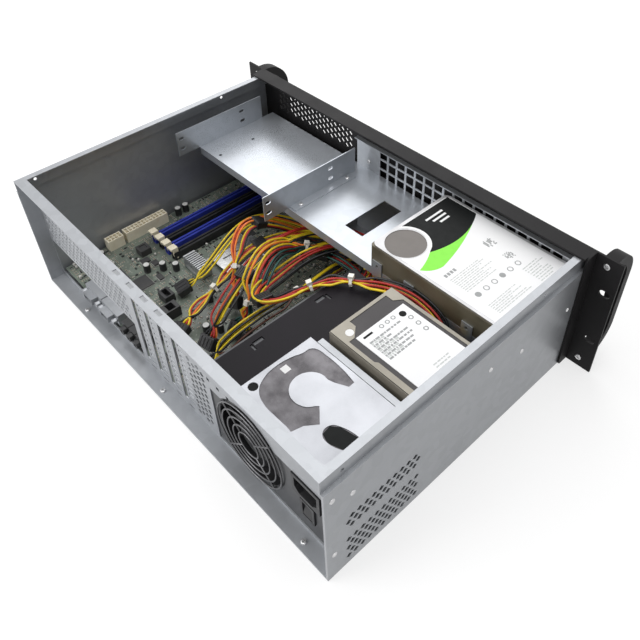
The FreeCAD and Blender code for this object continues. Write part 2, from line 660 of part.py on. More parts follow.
# ---------------------------------------------------------------- case sheet metal
def wall_outline(side):
    """One wall of the body, seen from the front, with its stepped band and top rim."""
    low = [(HALF, 0), (HALF, STEP_Z), (BAND_HALF, STEP_Z), (BAND_HALF, BODY_HEIGHT)]
    rim = BAND_HALF - RIM_WIDTH
    top = [(rim, BODY_HEIGHT), (rim, BODY_HEIGHT - SHEET), (BAND_HALF - SHEET, BODY_HEIGHT - SHEET)]
    inner = [(BAND_HALF - SHEET, STEP_Z - SHEET), (INNER_HALF, STEP_Z - SHEET), (INNER_HALF, SHEET)]
    return [(side * x, z) for x, z in low + top + inner]


def vent(centre, through):
    """Cutter of one square vent hole."""
    return polygon_hole(4, VENT_SIZE, centre, through, VENT_TURN)


def chassis_body():
    """Floor and two walls folded from one sheet."""
    right = wall_outline(-1)
    left = wall_outline(1)
    body = profile_y(left + right[::-1], 0, BODY_DEPTH)
    rear_rim = REAR_FACE + REAR_STEP - SHEET
    screw_z = BODY_HEIGHT - COVER_SCREW_DROP
    tools = []
    for side in (-1, 1):
        inner = side * (BAND_HALF - SHEET)
        tools.append(box(inner, side * (BAND_HALF - RIM_WIDTH - PAST), rear_rim, BODY_DEPTH,
                         BODY_HEIGHT - SHEET, BODY_HEIGHT))
        for y in COVER_SCREW_INSETS:
            tools.append(stud(BORE_SIDES, COVER_SCREW_RADIUS, (inner - side * SHEET, y, screw_z),
                              (side * (BAND_HALF + SHEET), y, screw_z)))
    rear = REAR_INNER - SIDE_VENT_INSET
    for y, z in lattice(rear, rear - SIDE_VENT_RUN, SIDE_VENT_LOW, SIDE_VENT_HIGH, SIDE_VENT_PLAIN_ROWS):
        tools.append(vent((-HALF + SHEET / 2, y, z), (4 * SHEET, 0, 0)))
    return cut(body, tools)


def slot_x(k):
    """Middle of an expansion slot."""
    return IO_LEFT - SLOT_FIRST_OFFSET - k * SLOT_PITCH


def rear_panel():
    """Inset rear panel with its folded foot, sides and top band."""
    side = INNER_HALF
    top_half = BAND_HALF - SHEET
    band = REAR_FACE + REAR_STEP
    lower = [(BODY_DEPTH, SHEET), (BODY_DEPTH, 2 * SHEET), (REAR_FACE, 2 * SHEET),
             (REAR_FACE, STEP_Z - SHEET), (REAR_INNER, STEP_Z - SHEET), (REAR_INNER, SHEET)]
    upper = [(REAR_INNER, STEP_Z - 2 * SHEET), (REAR_FACE, STEP_Z - 2 * SHEET), (REAR_FACE, STEP_Z - SHEET),
             (band, STEP_Z - SHEET), (band, BODY_HEIGHT - SHEET), (BODY_DEPTH, BODY_HEIGHT - SHEET),
             (BODY_DEPTH, BODY_HEIGHT), (band - SHEET, BODY_HEIGHT), (band - SHEET, STEP_Z),
             (REAR_INNER, STEP_Z)]
    pieces = [profile_x(lower, -side, side), profile_x(upper, -top_half, top_half)]
    for sign in (-1, 1):
        pieces.append(box(sign * side, sign * (side - SHEET), REAR_INNER, BODY_DEPTH, SHEET, STEP_Z - SHEET))
    panel = fuse(pieces)

    reach = (REAR_INNER - PAST, REAR_FACE + PAST)
    tools = [box(IO_LEFT, IO_LEFT - IO_WIDTH, *reach, IO_BOTTOM, IO_BOTTOM + IO_HEIGHT)]
    low = PSU_BOTTOM + PSU_OPEN_BOTTOM
    tools.append(box(PSU_LEFT - PSU_OPEN_LEFT, PSU_RIGHT + PSU_OPEN_RIGHT, *reach, low,
                     low + PSU_OPEN_HEIGHT))
    tools.append(stud(ROUND_SIDES, FAN_WINDOW, (FAN_X, reach[0], FAN_Z), (FAN_X, reach[1], FAN_Z)))
    for k in range(SLOT_COUNT):
        notch = across(slot_x(k), TAB_NOTCH_WIDTH)
        tools.append(box(*across(slot_x(k), SLOT_WIDTH), *reach, SLOT_BOTTOM, SLOT_TOP))
        tools.append(box(*notch, band + SHEET, band + SHEET + TAB_NOTCH_DEPTH, BODY_HEIGHT - 2 * SHEET,
                         BODY_HEIGHT + PAST))
        tools.append(box(*notch, *reach, TAB_SLOT_RISE, TAB_SLOT_RISE + TAB_SLOT_HEIGHT))
    through = (0, 4 * SHEET, 0)
    middle = (REAR_INNER + REAR_FACE) / 2
    high = REAR_VENT_LOW + (REAR_VENT_ROWS - 1) * VENT_ROW_PITCH
    for x, z in lattice(IO_LEFT - VENT_EDGE, IO_LEFT - IO_WIDTH + 2 * SHEET, REAR_VENT_LOW, high):
        tools.append(vent((x, middle, z), through))
    for column in range(STRIP_VENT_COLUMNS):
        x = slot_x(SLOT_COUNT - 1) - STRIP_VENT_GAP - column * VENT_ROW_PITCH
        z = SLOT_BOTTOM + (column % 2) * VENT_PITCH / 2
        while z < SQUARE_HOLE_Z + VENT_PITCH / 2:
            tools.append(vent((x, middle, z), through))
            z += VENT_PITCH
    for k in range(SQUARE_HOLE_COUNT):
        x = PSU_LEFT - SQUARE_HOLE_INSET - k * SQUARE_HOLE_PITCH
        tools.append(polygon_hole(4, SQUARE_HOLE, (x, middle, SQUARE_HOLE_Z), through))
    return cut(panel, tools)


def slot_cover(k):
    """Blank cover behind one slot, held under the rear panel's ledge."""
    low, high = across(slot_x(k), SLOT_WIDTH)
    right = low - COVER_OVERLAP
    left = high - COVER_GAP
    front = REAR_INNER - COVER_SHEET
    cover = box(right, left, front, REAR_INNER, SHEET + COVER_FOOT, STEP_Z - 2 * SHEET)
    tools = []
    for row in range(COVER_VENT_ROWS):
        z = SLOT_BOTTOM + COVER_VENT_START + row * COVER_VENT_PITCH
        tools.append(box(*across((right + left) / 2, COVER_VENT_WIDTH), front - PAST, REAR_INNER + PAST,
                         z, z + COVER_VENT_HEIGHT))
    return cut(cover, tools)


def ends_of(shape, test):
    """Edges along X whose middle passes a test on its Y."""
    along = [e for e in shape.Edges if abs(e.tangentAt(e.FirstParameter).x) > 1 - TINY]
    return [e for e in along if test(e.CenterOfMass.y)]


def front_panel():
    """Panel with ears, two side flanges and a top flange."""
    plate = box(-EAR_END, EAR_END, -PANEL_SHEET, 0, 0, PANEL_HEIGHT)
    pieces = [plate, box(-HALF, HALF, 0, PANEL_FLANGE, BODY_HEIGHT, PANEL_HEIGHT)]
    for side in (-1, 1):
        flange = box(side * HALF, side * (HALF + PANEL_SHEET), 0, EAR_FLANGE, 0, PANEL_HEIGHT)
        pieces.append(flange.makeFillet(EAR_FLANGE_ROUND, ends_of(flange, lambda y: y > EAR_FLANGE - TINY)))
    panel = fuse(pieces)
    reach = (-PANEL_SHEET - PAST, PAST)
    tools = []
    for side in (-1, 1):
        x = side * (EAR_END - EAR_SLOT_INSET)
        start, end = across(x, EAR_SLOT_LENGTH - 2 * EAR_SLOT_RADIUS)
        for z in across(PANEL_HEIGHT / 2, RACK_HOLE_RISE):
            slot = [box(start, end, *reach, z - EAR_SLOT_RADIUS, z + EAR_SLOT_RADIUS)]
            slot += [rod(EAR_SLOT_RADIUS, (x, reach[0], z), (x, reach[1], z)) for x in (start, end)]
            tools.append(fuse(slot))
        for z in handle_feet():
            tools.append(stud(BORE_SIDES, HANDLE_SCREW_RADIUS + SCREW_SEAT_GAP,
                              (side * HANDLE_X, -HANDLE_SCREW_DEPTH, z), (side * HANDLE_X, PAST, z)))
    first = BAY_FLANGE_X - SHEET - BAY_VENT_MARGIN
    low = TRAY_TOP + BAY_VENT_MARGIN
    for column in range(int((first - DIVIDER_X - BAY_VENT_RIGHT) / VENT_ROW_PITCH) + 1):
        z = low + (column % 2) * VENT_PITCH / 2
        while z < low + BAY_VENT_HEIGHT:
            centre = (first - column * VENT_ROW_PITCH, -PANEL_SHEET / 2, z)
            tools.append(vent(centre, (0, 2 * PANEL_SHEET, 0)))
            z += VENT_PITCH
    return cut(panel, tools)


def handle_feet():
    """Heights of the two screws of a handle."""
    low = HANDLE_MARGIN + HANDLE_BAR / 2
    return low, PANEL_HEIGHT - low


def handle(side):
    """Bow handle bent from bar, standing in front of an ear."""
    foot = -PANEL_SHEET
    end = foot - HANDLE_REACH
    low, high = HANDLE_MARGIN, PANEL_HEIGHT - HANDLE_MARGIN
    x0, x1 = across(side * HANDLE_X, HANDLE_WIDTH)
    outer = box(x0, x1, end, foot, low, high)
    outer = outer.makeFillet(HANDLE_REACH - HANDLE_BAR, ends_of(outer, lambda y: y < end + TINY))
    hole = box(x0 - PAST, x1 + PAST, foot + PAST, end + HANDLE_BAR, low + HANDLE_BAR, high - HANDLE_BAR)
    hole = hole.makeFillet(HANDLE_REACH - 2 * HANDLE_BAR, ends_of(hole, lambda y: y < foot))
    return outer.cut(hole)


def front_grille_plate():
    """Punched sheet behind the front panel, with a rim and a foot."""
    front, rear = GRILLE_FRONT, GRILLE_FRONT + SHEET
    outline = [(front, SHEET), (rear, SHEET), (rear, GRILLE_TOP - SHEET),
               (rear + GRILLE_RIM, GRILLE_TOP - SHEET), (rear + GRILLE_RIM, GRILLE_TOP), (front, GRILLE_TOP)]
    plate = profile_x(outline, GRILLE_RIGHT, GRILLE_LEFT)
    plate = fuse([plate, box(GRILLE_RIGHT, GRILLE_LEFT, rear, rear + GRILLE_FOOT, SHEET, 2 * SHEET)])
    tools = []
    for row in range(GRILLE_ROWS):
        z = GRILLE_TOP - GRILLE_BAND - GRILLE_HOLE - row * GRILLE_ROW_PITCH
        for column in range(GRILLE_COLUMNS):
            hole = across(GRILLE_LEFT - GRILLE_FIRST_INSET - column * GRILLE_PITCH, GRILLE_HOLE)
            tools.append(box(*hole, front - PAST, rear + PAST, z, z + GRILLE_HOLE))
    return cut(plate, tools)


def drive_tray():
    """Deck over the front half, with lips, a bay flange and tabs behind the 3.5 inch drive."""
    left, inner = BAY_FLANGE_X, BAY_FLANGE_X - SHEET
    start = TRAY_FRONT + BAY_FLANGE_START
    end = TRAY_REAR + BAY_FLANGE_OVERHANG
    lip = (TRAY_TOP - TRAY_LIP, TRAY_TOP)
    pieces = [box(TRAY_RIGHT, left, TRAY_FRONT + SHEET, TRAY_REAR, TRAY_TOP - SHEET, TRAY_TOP),
              box(inner, left, start, end, TRAY_TOP, TRAY_TOP + BAY_FLANGE_HEIGHT),
              box(inner, left, start, TRAY_REAR, TRAY_TOP - SHEET, TRAY_TOP),
              box(TRAY_RIGHT, inner, TRAY_REAR - SHEET, TRAY_REAR, *lip),
              box(TRAY_RIGHT + TRAY_FRONT_INSET, left, TRAY_FRONT, TRAY_FRONT + SHEET, *lip),
              box(TRAY_RIGHT, TRAY_RIGHT + SHEET, TRAY_FRONT + TRAY_SIDE_START, TRAY_REAR,
                  TRAY_TOP - TRAY_SIDE_FLANGE, TRAY_TOP)]
    tab_places = [HDD_LEFT - setback for setback in HDD_TAB_SETBACKS]
    for x in tab_places:
        pieces.append(box(*across(x, HDD_TAB_WIDTH), TRAY_REAR, TRAY_REAR + SHEET, TRAY_TOP - TRAY_LIP,
                          TRAY_TOP + HDD_TAB_HEIGHT))
    tray = fuse(pieces)
    through = (TRAY_TOP - SHEET - PAST, TRAY_TOP + PAST)
    window = TRAY_FRONT + TRAY_WINDOW_START
    tools = [box(TRAY_WINDOW_LEFT, TRAY_WINDOW_LEFT - TRAY_WINDOW_WIDTH, window, window + TRAY_WINDOW_LENGTH,
                 *through)]
    for x, inset in TRAY_HOLES:
        y = TRAY_REAR - inset
        tools.append(stud(BORE_SIDES, TRAY_HOLE_RADIUS, (x, y, through[0]), (x, y, through[1])))
    tools += bay_holes(left - SHEET / 2, end - BAY_HOLE_INSET)
    z = TRAY_TOP + HDD_TAB_HOLE_RISE
    for x in tab_places:
        tools.append(stud(BORE_SIDES, TRAY_HOLE_RADIUS, (x, TRAY_REAR - SHEET / 2, z),
                          (x, TRAY_REAR + 2 * SHEET, z)))
    return cut(tray, tools)


def bay_holes(x, rear):
    """Two rows of obround holes for a 5.25 inch device's side screws."""
    long, high, corner = BAY_HOLE_LENGTH / 2, BAY_HOLE_HEIGHT / 2, BAY_HOLE_CHAMFER
    quarter = [(long - corner, high), (long, high - corner)]
    outline = quarter + [(y, -z) for y, z in quarter[::-1]]
    outline += [(-y, -z) for y, z in quarter] + [(-y, z) for y, z in quarter[::-1]]
    low = TRAY_TOP + BAY_HOLE_FIRST_RISE
    holes = []
    for y in (rear, rear - BAY_HOLE_SPACING):
        for z in (low, low + BAY_HOLE_RISE):
            holes.append(profile_x([(y + a, z + b) for a, b in outline], x - SHEET - PAST, x + SHEET + PAST))
    return holes


def bay_divider():
    """Upright plate with a foot that is screwed to the tray."""
    right = DIVIDER_X - SHEET
    end = TRAY_REAR + DIVIDER_OVERHANG
    plate = box(right, DIVIDER_X, TRAY_FRONT + DIVIDER_START, end, TRAY_TOP, TRAY_TOP + BAY_FLANGE_HEIGHT)
    foot = box(right - DIVIDER_FOOT, DIVIDER_X, TRAY_FRONT + DIVIDER_FOOT_START, TRAY_REAR - DIVIDER_FOOT_END,
               TRAY_TOP, TRAY_TOP + SHEET)
    return cut(fuse([plate, foot]), bay_holes(right + SHEET / 2, end - BAY_HOLE_INSET))


def small_drive_bracket():
    """Black plate over the power supply that carries both 2.5 inch drives."""
    plate = box(-INNER_HALF, BRACKET_LEFT, BRACKET_FRONT, BRACKET_REAR, BRACKET_BOTTOM, BRACKET_TOP)
    flange = box(-INNER_HALF, -INNER_HALF + SHEET, BRACKET_FRONT, BRACKET_REAR, BRACKET_TOP,
                 BRACKET_TOP + BRACKET_FLANGE)
    through = (BRACKET_BOTTOM - PAST, BRACKET_TOP + PAST)
    middle = (BRACKET_FRONT + BRACKET_REAR) / 2
    x = BRACKET_LEFT - BRACKET_SLOT_INSET
    right, left = BRACKET_CROSS_REACH
    tools = []
    for sign in (-1, 1):
        y = middle + sign * BRACKET_SLOT_SPREAD
        tools.append(box(*across(x, BRACKET_SLOT_WIDTH), *across(y, BRACKET_SLOT_LENGTH), *through))
        y = middle + sign * BRACKET_CROSS_SPREAD
        tools.append(box(x - right, x + left, *across(y, BRACKET_CROSS_WIDTH), *through))
    return cut(fuse([plate, flange]), tools)


def small_drive_angle():
    """Angle between the two small drives."""
    rear = BARE_FRONT - ANGLE_GAP
    front = rear - ANGLE_DEPTH
    top = BARE_TOP - ANGLE_DROP
    left = BRACKET_LEFT - ANGLE_START
    outline = [(front, BRACKET_TOP), (front + SHEET, BRACKET_TOP), (front + SHEET, top - SHEET),
               (rear, top - SHEET), (rear, top), (front, top)]
    angle = profile_x(outline, left - ANGLE_LENGTH, left)
    x, z = left - ANGLE_HOLE_INSET, top - ANGLE_HOLE_DROP
    return angle.cut(stud(BORE_SIDES, ANGLE_HOLE_RADIUS, (x, front - PAST, z), (x, front + SHEET + PAST, z)))


# ---------------------------------------------------------------- drives
def hdd_base():
    """3.5 inch drive's cast body."""
    return rounded_slab(HDD_RIGHT, HDD_LEFT, HDD_FRONT, HDD_REAR, TRAY_TOP, HDD_TOP - HDD_COVER, HDD_ROUND)


def hdd_cover():
    """Its lid, with the round dip over the spindle."""
    inset = HDD_COVER_INSET
    cover = rounded_slab(HDD_RIGHT + inset, HDD_LEFT - inset, HDD_FRONT + inset, HDD_REAR - inset,
                         HDD_TOP - HDD_COVER, HDD_TOP, HDD_COVER_ROUND)
    return cover.cut(stud(ROUND_SIDES, HDD_HUB_RADIUS, (*HDD_HUB, HDD_TOP - HDD_HUB_DIP),
                          (*HDD_HUB, HDD_TOP + PAST)))


def hdd_label():
    """Label round the dip."""
    right, left = HDD_LABEL_INSETS
    label = rounded_slab(HDD_RIGHT + right, HDD_LEFT - left, HDD_FRONT + HDD_LABEL_MARGIN,
                         HDD_REAR - HDD_LABEL_MARGIN, HDD_TOP, HDD_TOP + LABEL_THICK, HDD_LABEL_ROUND)
    through = (HDD_TOP - PAST, HDD_TOP + PAST)
    hub = stud(ROUND_SIDES, HDD_HUB_RADIUS + HDD_LABEL_HUB_GAP, (*HDD_HUB, through[0]),
               (*HDD_HUB, through[1]))
    corner = box(HDD_HUB[0], HDD_LEFT, HDD_HUB[1], HDD_REAR + PAST, *through)
    return label.cut(hub).cut(corner)


def bare_drive_base():
    """2.5 inch drive's cast body."""
    return box(BARE_LEFT - SMALL_LENGTH, BARE_LEFT, BARE_FRONT, BARE_REAR, BRACKET_TOP, BARE_TOP - BARE_PLATE)


def bare_drive_cover():
    """Cast top plate with a crescent recess round the hub and a slanting window."""
    low = BARE_TOP - BARE_PLATE
    right = BARE_LEFT - SMALL_LENGTH
    inset = BARE_PLATE_INSET
    plate = box(right + inset, BARE_LEFT - inset, BARE_FRONT + inset, BARE_REAR - inset, low, BARE_TOP)
    x, y = BARE_LEFT - BARE_HUB_INSET[0], BARE_REAR - BARE_HUB_INSET[1]
    floor, over = BARE_TOP - BARE_RECESS, BARE_TOP + PAST

    def round_cut(place, radius, sides, spare=0):
        """Upright round cutter at a place from the hub's middle."""
        at = (x + place[0], y + place[1])
        return stud(sides, radius, (*at, floor - spare), (*at, over + spare))

    def outline_cut(outline, spare=0):
        """Upright cutter with an outline from the hub's middle."""
        return profile_z([(x + a, y + b) for a, b in outline], floor - spare, over + spare)

    crescent = round_cut((0, 0), BARE_DISC_RADIUS, ROUND_SIDES)
    crescent = crescent.cut(round_cut((0, 0), BARE_HUB_RADIUS, ROUND_SIDES, PAST))
    crescent = crescent.cut(outline_cut(BARE_NECK, PAST))
    dot = round_cut(BARE_DOT, BARE_DOT_RADIUS, PIN_SIDES)
    nose = round_cut(BARE_NOSE, BARE_NOSE_RADIUS, PIN_SIDES)
    keep = box(right + BARE_EDGE, BARE_LEFT - BARE_EDGE, BARE_FRONT + BARE_EDGE, BARE_REAR - BARE_EDGE,
               floor, over)
    return plate.cut(fuse([crescent, dot, outline_cut(BARE_WINDOW), nose]).common(keep))


def dark_drive_base():
    """Taller 2.5 inch drive's body."""
    return box(DARK_LEFT - SMALL_LENGTH, DARK_LEFT, DARK_FRONT, DARK_FRONT + SMALL_WIDTH, BRACKET_TOP,
               DARK_TOP - DARK_PLATE)


def dark_drive_cover():
    """Top plate: a pale frame with corner pads round a lower dark field."""
    inset = DARK_PLATE_INSET
    x0, x1 = DARK_LEFT - SMALL_LENGTH + inset, DARK_LEFT - inset
    y0, y1 = DARK_FRONT + inset, DARK_FRONT + SMALL_WIDTH - inset
    plate = box(x0, x1, y0, y1, DARK_TOP - DARK_PLATE, DARK_TOP)
    field = [(x1 + a, y0 + b) for a, b in DARK_FIELD_FRONT]
    field += [(x0 + DARK_BORDER, y0 + DARK_BORDER), (x0 + DARK_BORDER, y1 - DARK_BORDER - DARK_FIELD_STEP)]
    field += [(x1 + a, y1 + b) for a, b in DARK_FIELD_REAR]
    return plate.cut(profile_z(field, DARK_TOP - DARK_FIELD_DIP, DARK_TOP + PAST))


def dark_drive_label():
    """Label on the dark field."""
    right, left, front, rear = DARK_LABEL_INSETS
    low = DARK_TOP - DARK_FIELD_DIP
    return box(DARK_LEFT - SMALL_LENGTH + right, DARK_LEFT - left, DARK_FRONT + front,
               DARK_FRONT + SMALL_WIDTH - rear, low, low + DARK_LABEL_THICK)


# ---------------------------------------------------------------- power supply
def psu_base():
    """Bottom, rear and front walls of the supply's case, folded from one sheet."""
    sheet = PSU_SHEET
    x = (PSU_RIGHT + sheet, PSU_LEFT - sheet)
    shell = fuse([box(*x, PSU_FRONT, PSU_REAR, PSU_BOTTOM, PSU_BOTTOM + sheet),
                  box(*x, PSU_REAR - sheet, PSU_REAR, PSU_BOTTOM, PSU_TOP - sheet),
                  box(*x, PSU_FRONT, PSU_FRONT + sheet, PSU_BOTTOM, PSU_TOP - sheet)])
    reach = (PSU_REAR - sheet - PAST, PSU_REAR + PAST)
    return cut(shell, [stud(ROUND_SIDES, FAN_BORE / 2, (FAN_X, reach[0], FAN_Z), (FAN_X, reach[1], FAN_Z)),
                       box(*across(INLET_X, INLET_WIDTH), *reach, *across(INLET_Z, INLET_HEIGHT)),
                       box(*across(INLET_X, SWITCH_WIDTH), *reach, *across(SWITCH_Z, SWITCH_HEIGHT))])


def psu_cover():
    """Top and side walls of the supply's case."""
    outer = [(PSU_RIGHT, PSU_BOTTOM), (PSU_RIGHT, PSU_TOP), (PSU_LEFT, PSU_TOP), (PSU_LEFT, PSU_BOTTOM)]
    right, left, top = PSU_RIGHT + PSU_SHEET, PSU_LEFT - PSU_SHEET, PSU_TOP - PSU_SHEET
    inner = [(left, PSU_BOTTOM), (left, top), (right, top), (right, PSU_BOTTOM)]
    return profile_y(outer + inner, PSU_FRONT, PSU_REAR)


def round_fan(shape, angle):
    """Shape turned about the fan's axis."""
    shape.rotate(V(FAN_X, 0, FAN_Z), V(0, 1, 0), angle)
    return shape


def fan_disc(sides, radius, front, rear):
    """Prism on the fan's axis."""
    return stud(sides, radius, (FAN_X, front, FAN_Z), (FAN_X, rear, FAN_Z))


def psu_fan_frame():
    """Square fan housing with its motor mount and shaft."""
    rear = PSU_REAR - PSU_SHEET
    front = rear - FAN_DEPTH
    frame = box(*across(FAN_X, FAN_SIZE), front, rear, *across(FAN_Z, FAN_SIZE))
    frame = frame.cut(fan_disc(ROUND_SIDES, FAN_BORE / 2, front - PAST, rear + PAST))
    pieces = [frame, fan_disc(ROUND_SIDES, FAN_HUB / 2, front, front + FAN_MOUNT),
              rod(SHAFT_RADIUS, (FAN_X, front, FAN_Z), (FAN_X, front + FAN_SHAFT, FAN_Z))]
    for k in range(FAN_ARM_COUNT):
        arm = box(*across(FAN_X, FAN_ARM_WIDTH), front, front + FAN_MOUNT, FAN_Z,
                  FAN_Z + FAN_BORE / 2 + FAN_ARM_LAP)
        pieces.append(round_fan(arm, FAN_ARM_TURN + FULL_TURN / FAN_ARM_COUNT * k))
    return fuse(pieces)


def psu_fan_rotor():
    """Hub and swept blades, turning on the housing's shaft."""
    rear = PSU_REAR - PSU_SHEET - ROTOR_GAP
    front = rear - ROTOR_LENGTH
    bore = rod(SHAFT_RADIUS + SHAFT_GAP, (FAN_X, front - PAST, FAN_Z), (FAN_X, front + ROTOR_BORE, FAN_Z))
    pieces = [fan_disc(ROUND_SIDES, FAN_HUB / 2, front, rear).cut(bore)]
    root = FAN_HUB / 2 - ROTOR_ROOT_LAP
    reach = FAN_BORE / 2 - FAN_TIP_GAP - root
    for k in range(FAN_BLADES):
        blade = prism([(FAN_X + root, front + a, FAN_Z + b) for a, b in BLADE_SECTION], (reach, 0, 0))
        pieces.append(round_fan(blade, FULL_TURN / FAN_BLADES * k))
    return fuse(pieces)


def psu_fan_guard():
    """Wire guard: rings joined by four spokes whose bent ends stand on the supply's rear wall."""
    half = GUARD_WIRE / 2
    front = PSU_REAR + GUARD_STAND
    rear = front + GUARD_WIRE
    pieces = []
    for radius in GUARD_RADII:
        outer = fan_disc(RING_SIDES, radius + half, front, rear)
        pieces.append(outer.cut(fan_disc(RING_SIDES, radius - half, front - PAST, rear + PAST)))
    end = FAN_Z + GUARD_RADII[-1] + half
    for k in range(FAN_ARM_COUNT):
        spoke = box(*across(FAN_X, GUARD_WIRE), PSU_REAR, rear, FAN_Z + GUARD_RADII[0], end)
        spoke = spoke.cut(box(*across(FAN_X, GUARD_WIRE + PAST), PSU_REAR - PAST, front, FAN_Z,
                              end - GUARD_SPOKE_FOOT))
        pieces.append(round_fan(spoke, FAN_ARM_TURN + FULL_TURN / FAN_ARM_COUNT * k))
    return fuse(pieces)


def psu_inlet():
    """Mains inlet with its socket recess and three blades."""
    body = box(*across(INLET_X, INLET_WIDTH), PSU_REAR - INLET_DEPTH, PSU_REAR,
               *across(INLET_Z, INLET_HEIGHT))
    rim = box(*across(INLET_X, INLET_WIDTH + 2 * INLET_RIM), PSU_REAR, PSU_REAR + INLET_STAND,
              *across(INLET_Z, INLET_HEIGHT + 2 * INLET_RIM))
    floor = PSU_REAR - INLET_SOCKET_DEPTH
    socket = profile_y([(INLET_X + a, INLET_Z + b) for a, b in INLET_SOCKET], floor,
                       PSU_REAR + INLET_STAND + PAST)
    inlet = fuse([body, rim]).cut(socket)
    for a, b in INLET_BLADES:
        blade = box(*across(INLET_X + a, INLET_BLADE_WIDTH), floor - PAST, floor + INLET_BLADE_LENGTH,
                    *across(INLET_Z + b, INLET_BLADE_HEIGHT))
        inlet = inlet.fuse(blade)
    return inlet.removeSplitter()


def psu_switch_frame():
    """Frame and well of the power switch, bored for the rocker's pin."""
    body = box(*across(INLET_X, SWITCH_WIDTH), PSU_REAR - SWITCH_DEPTH, PSU_REAR,
               *across(SWITCH_Z, SWITCH_HEIGHT))
    rim = box(*across(INLET_X, SWITCH_WIDTH + 2 * SWITCH_RIM), PSU_REAR, PSU_REAR + SWITCH_STAND,
              *across(SWITCH_Z, SWITCH_HEIGHT + 2 * SWITCH_RIM))
    well = box(*across(INLET_X, SWITCH_WIDTH - 2 * SWITCH_WALL), PSU_REAR - SWITCH_WELL,
               PSU_REAR + SWITCH_STAND + PAST, *across(SWITCH_Z, SWITCH_HEIGHT - 2 * SWITCH_WALL))
    y = PSU_REAR - ROCKER_PIN_DEPTH
    right, left = across(INLET_X, SWITCH_WIDTH - 2 * ROCKER_PIN_WALL)
    bore = rod(ROCKER_PIN + SHAFT_GAP, (right, y, SWITCH_Z), (left, y, SWITCH_Z))
    return fuse([body, rim]).cut(well).cut(bore)


def psu_switch_rocker():
    """Rocker modelled pressed at its upper end."""
    right, left = across(INLET_X, SWITCH_WIDTH - 2 * (SWITCH_WALL + ROCKER_SIDE_GAP))
    end = SWITCH_HEIGHT / 2 - SWITCH_WALL - ROCKER_END_GAP
    y = PSU_REAR - ROCKER_PIN_DEPTH
    side = [(-ROCKER_BACK, ROCKER_TAPER - end), (-ROCKER_BACK, end - ROCKER_TAPER), (ROCKER_TIP, end),
            (ROCKER_DIP, 0), (ROCKER_TIP, -end)]
    rocker = profile_x([(y + a, SWITCH_Z + b) for a, b in side], right, left)
    pin = rod(ROCKER_PIN, (right - ROCKER_PIN_REACH, y, SWITCH_Z), (left + ROCKER_PIN_REACH, y, SWITCH_Z))
    rocker = fuse([rocker, pin])
    rocker.rotate(V(INLET_X, y, SWITCH_Z), V(1, 0, 0), ROCKER_TILT)
    return rocker


def psu_gland():
    """Plastic bush in the supply's front wall, which the looms leave by."""
    left = PSU_LEFT - GLAND_INSET
    low = PSU_BOTTOM + GLAND_RISE
    return box(left - GLAND_WIDTH, left, PSU_FRONT - GLAND_DEPTH, PSU_FRONT, low, low + GLAND_HEIGHT)


# ---------------------------------------------------------------- motherboard
def board_place(x, y):
    """Place from the board's left edge, or its right edge when x is below zero, and its rear edge."""
    return (BOARD_RIGHT - x if x < 0 else BOARD_LEFT - x), BOARD_REAR - y


def block_on_board(x, y, width, depth, low, high):
    """Box over a place on the board, between two heights above it."""
    return box(*across(x, width), *across(y, depth), BOARD_TOP + low, BOARD_TOP + high)


def motherboard():
    """Bare board."""
    return box(BOARD_RIGHT, BOARD_LEFT, BOARD_FRONT, BOARD_REAR, BOARD_BOTTOM, BOARD_TOP)


def standoffs():
    """Hexagonal spacers between the floor and the board."""
    middle = board_place(*STANDOFF_MIDDLE)
    columns = (BOARD_LEFT - STANDOFF_SIDE_INSET, middle[0], BOARD_RIGHT + STANDOFF_SIDE_INSET)
    rows = (BOARD_FRONT + STANDOFF_END_INSET, middle[1], BOARD_REAR - STANDOFF_END_INSET)
    return Part.makeCompound([stud(STANDOFF_SIDES, STANDOFF_RADIUS, (x, y, SHEET), (x, y, BOARD_BOTTOM))
                              for x in columns for y in rows])


def power_socket(setback, pins):
    """Two rows of square pin wells and a latch rib on the wall side."""
    length = pins * PIN_PITCH + 2 * SOCKET_END
    x, front = board_place(SOCKET_INSET, setback)
    middle = front + length / 2
    left = x + SOCKET_WIDTH / 2
    block = block_on_board(x, middle, SOCKET_WIDTH, length, 0, SOCKET_HEIGHT)
    rib = block_on_board(left + SOCKET_RIB / 2, middle, SOCKET_RIB, SOCKET_RIB_LENGTH, SOCKET_RIB_FOOT,
                         SOCKET_HEIGHT - SOCKET_RIB_HEAD)
    tools = []
    for column in across(x, PIN_PITCH):
        for k in range(pins):
            y = front + SOCKET_END + (k + 1 / 2) * PIN_PITCH
            tools.append(block_on_board(column, y, PIN_WELL, PIN_WELL, SOCKET_HEIGHT - PIN_WELL_DEPTH,
                                        SOCKET_HEIGHT + PAST))
    return cut(fuse([block, rib]), tools)


def power_sockets():
    """The 24-pin and the 8-pin socket."""
    return Part.makeCompound([power_socket(BIG_SOCKET_SETBACK, BIG_SOCKET_PINS),
                              power_socket(SMALL_SOCKET_SETBACK, SMALL_SOCKET_PINS)])


def dimm_x(k):
    """Middle of a memory socket."""
    return BOARD_LEFT - DIMM_INSET - k * DIMM_PITCH


def latch_pivot():
    """Place of a latch's pin, the same on every socket, as Y and Z."""
    return DIMM_REAR - LATCH_LENGTH / 2, BOARD_TOP + LATCH_PIVOT_RISE


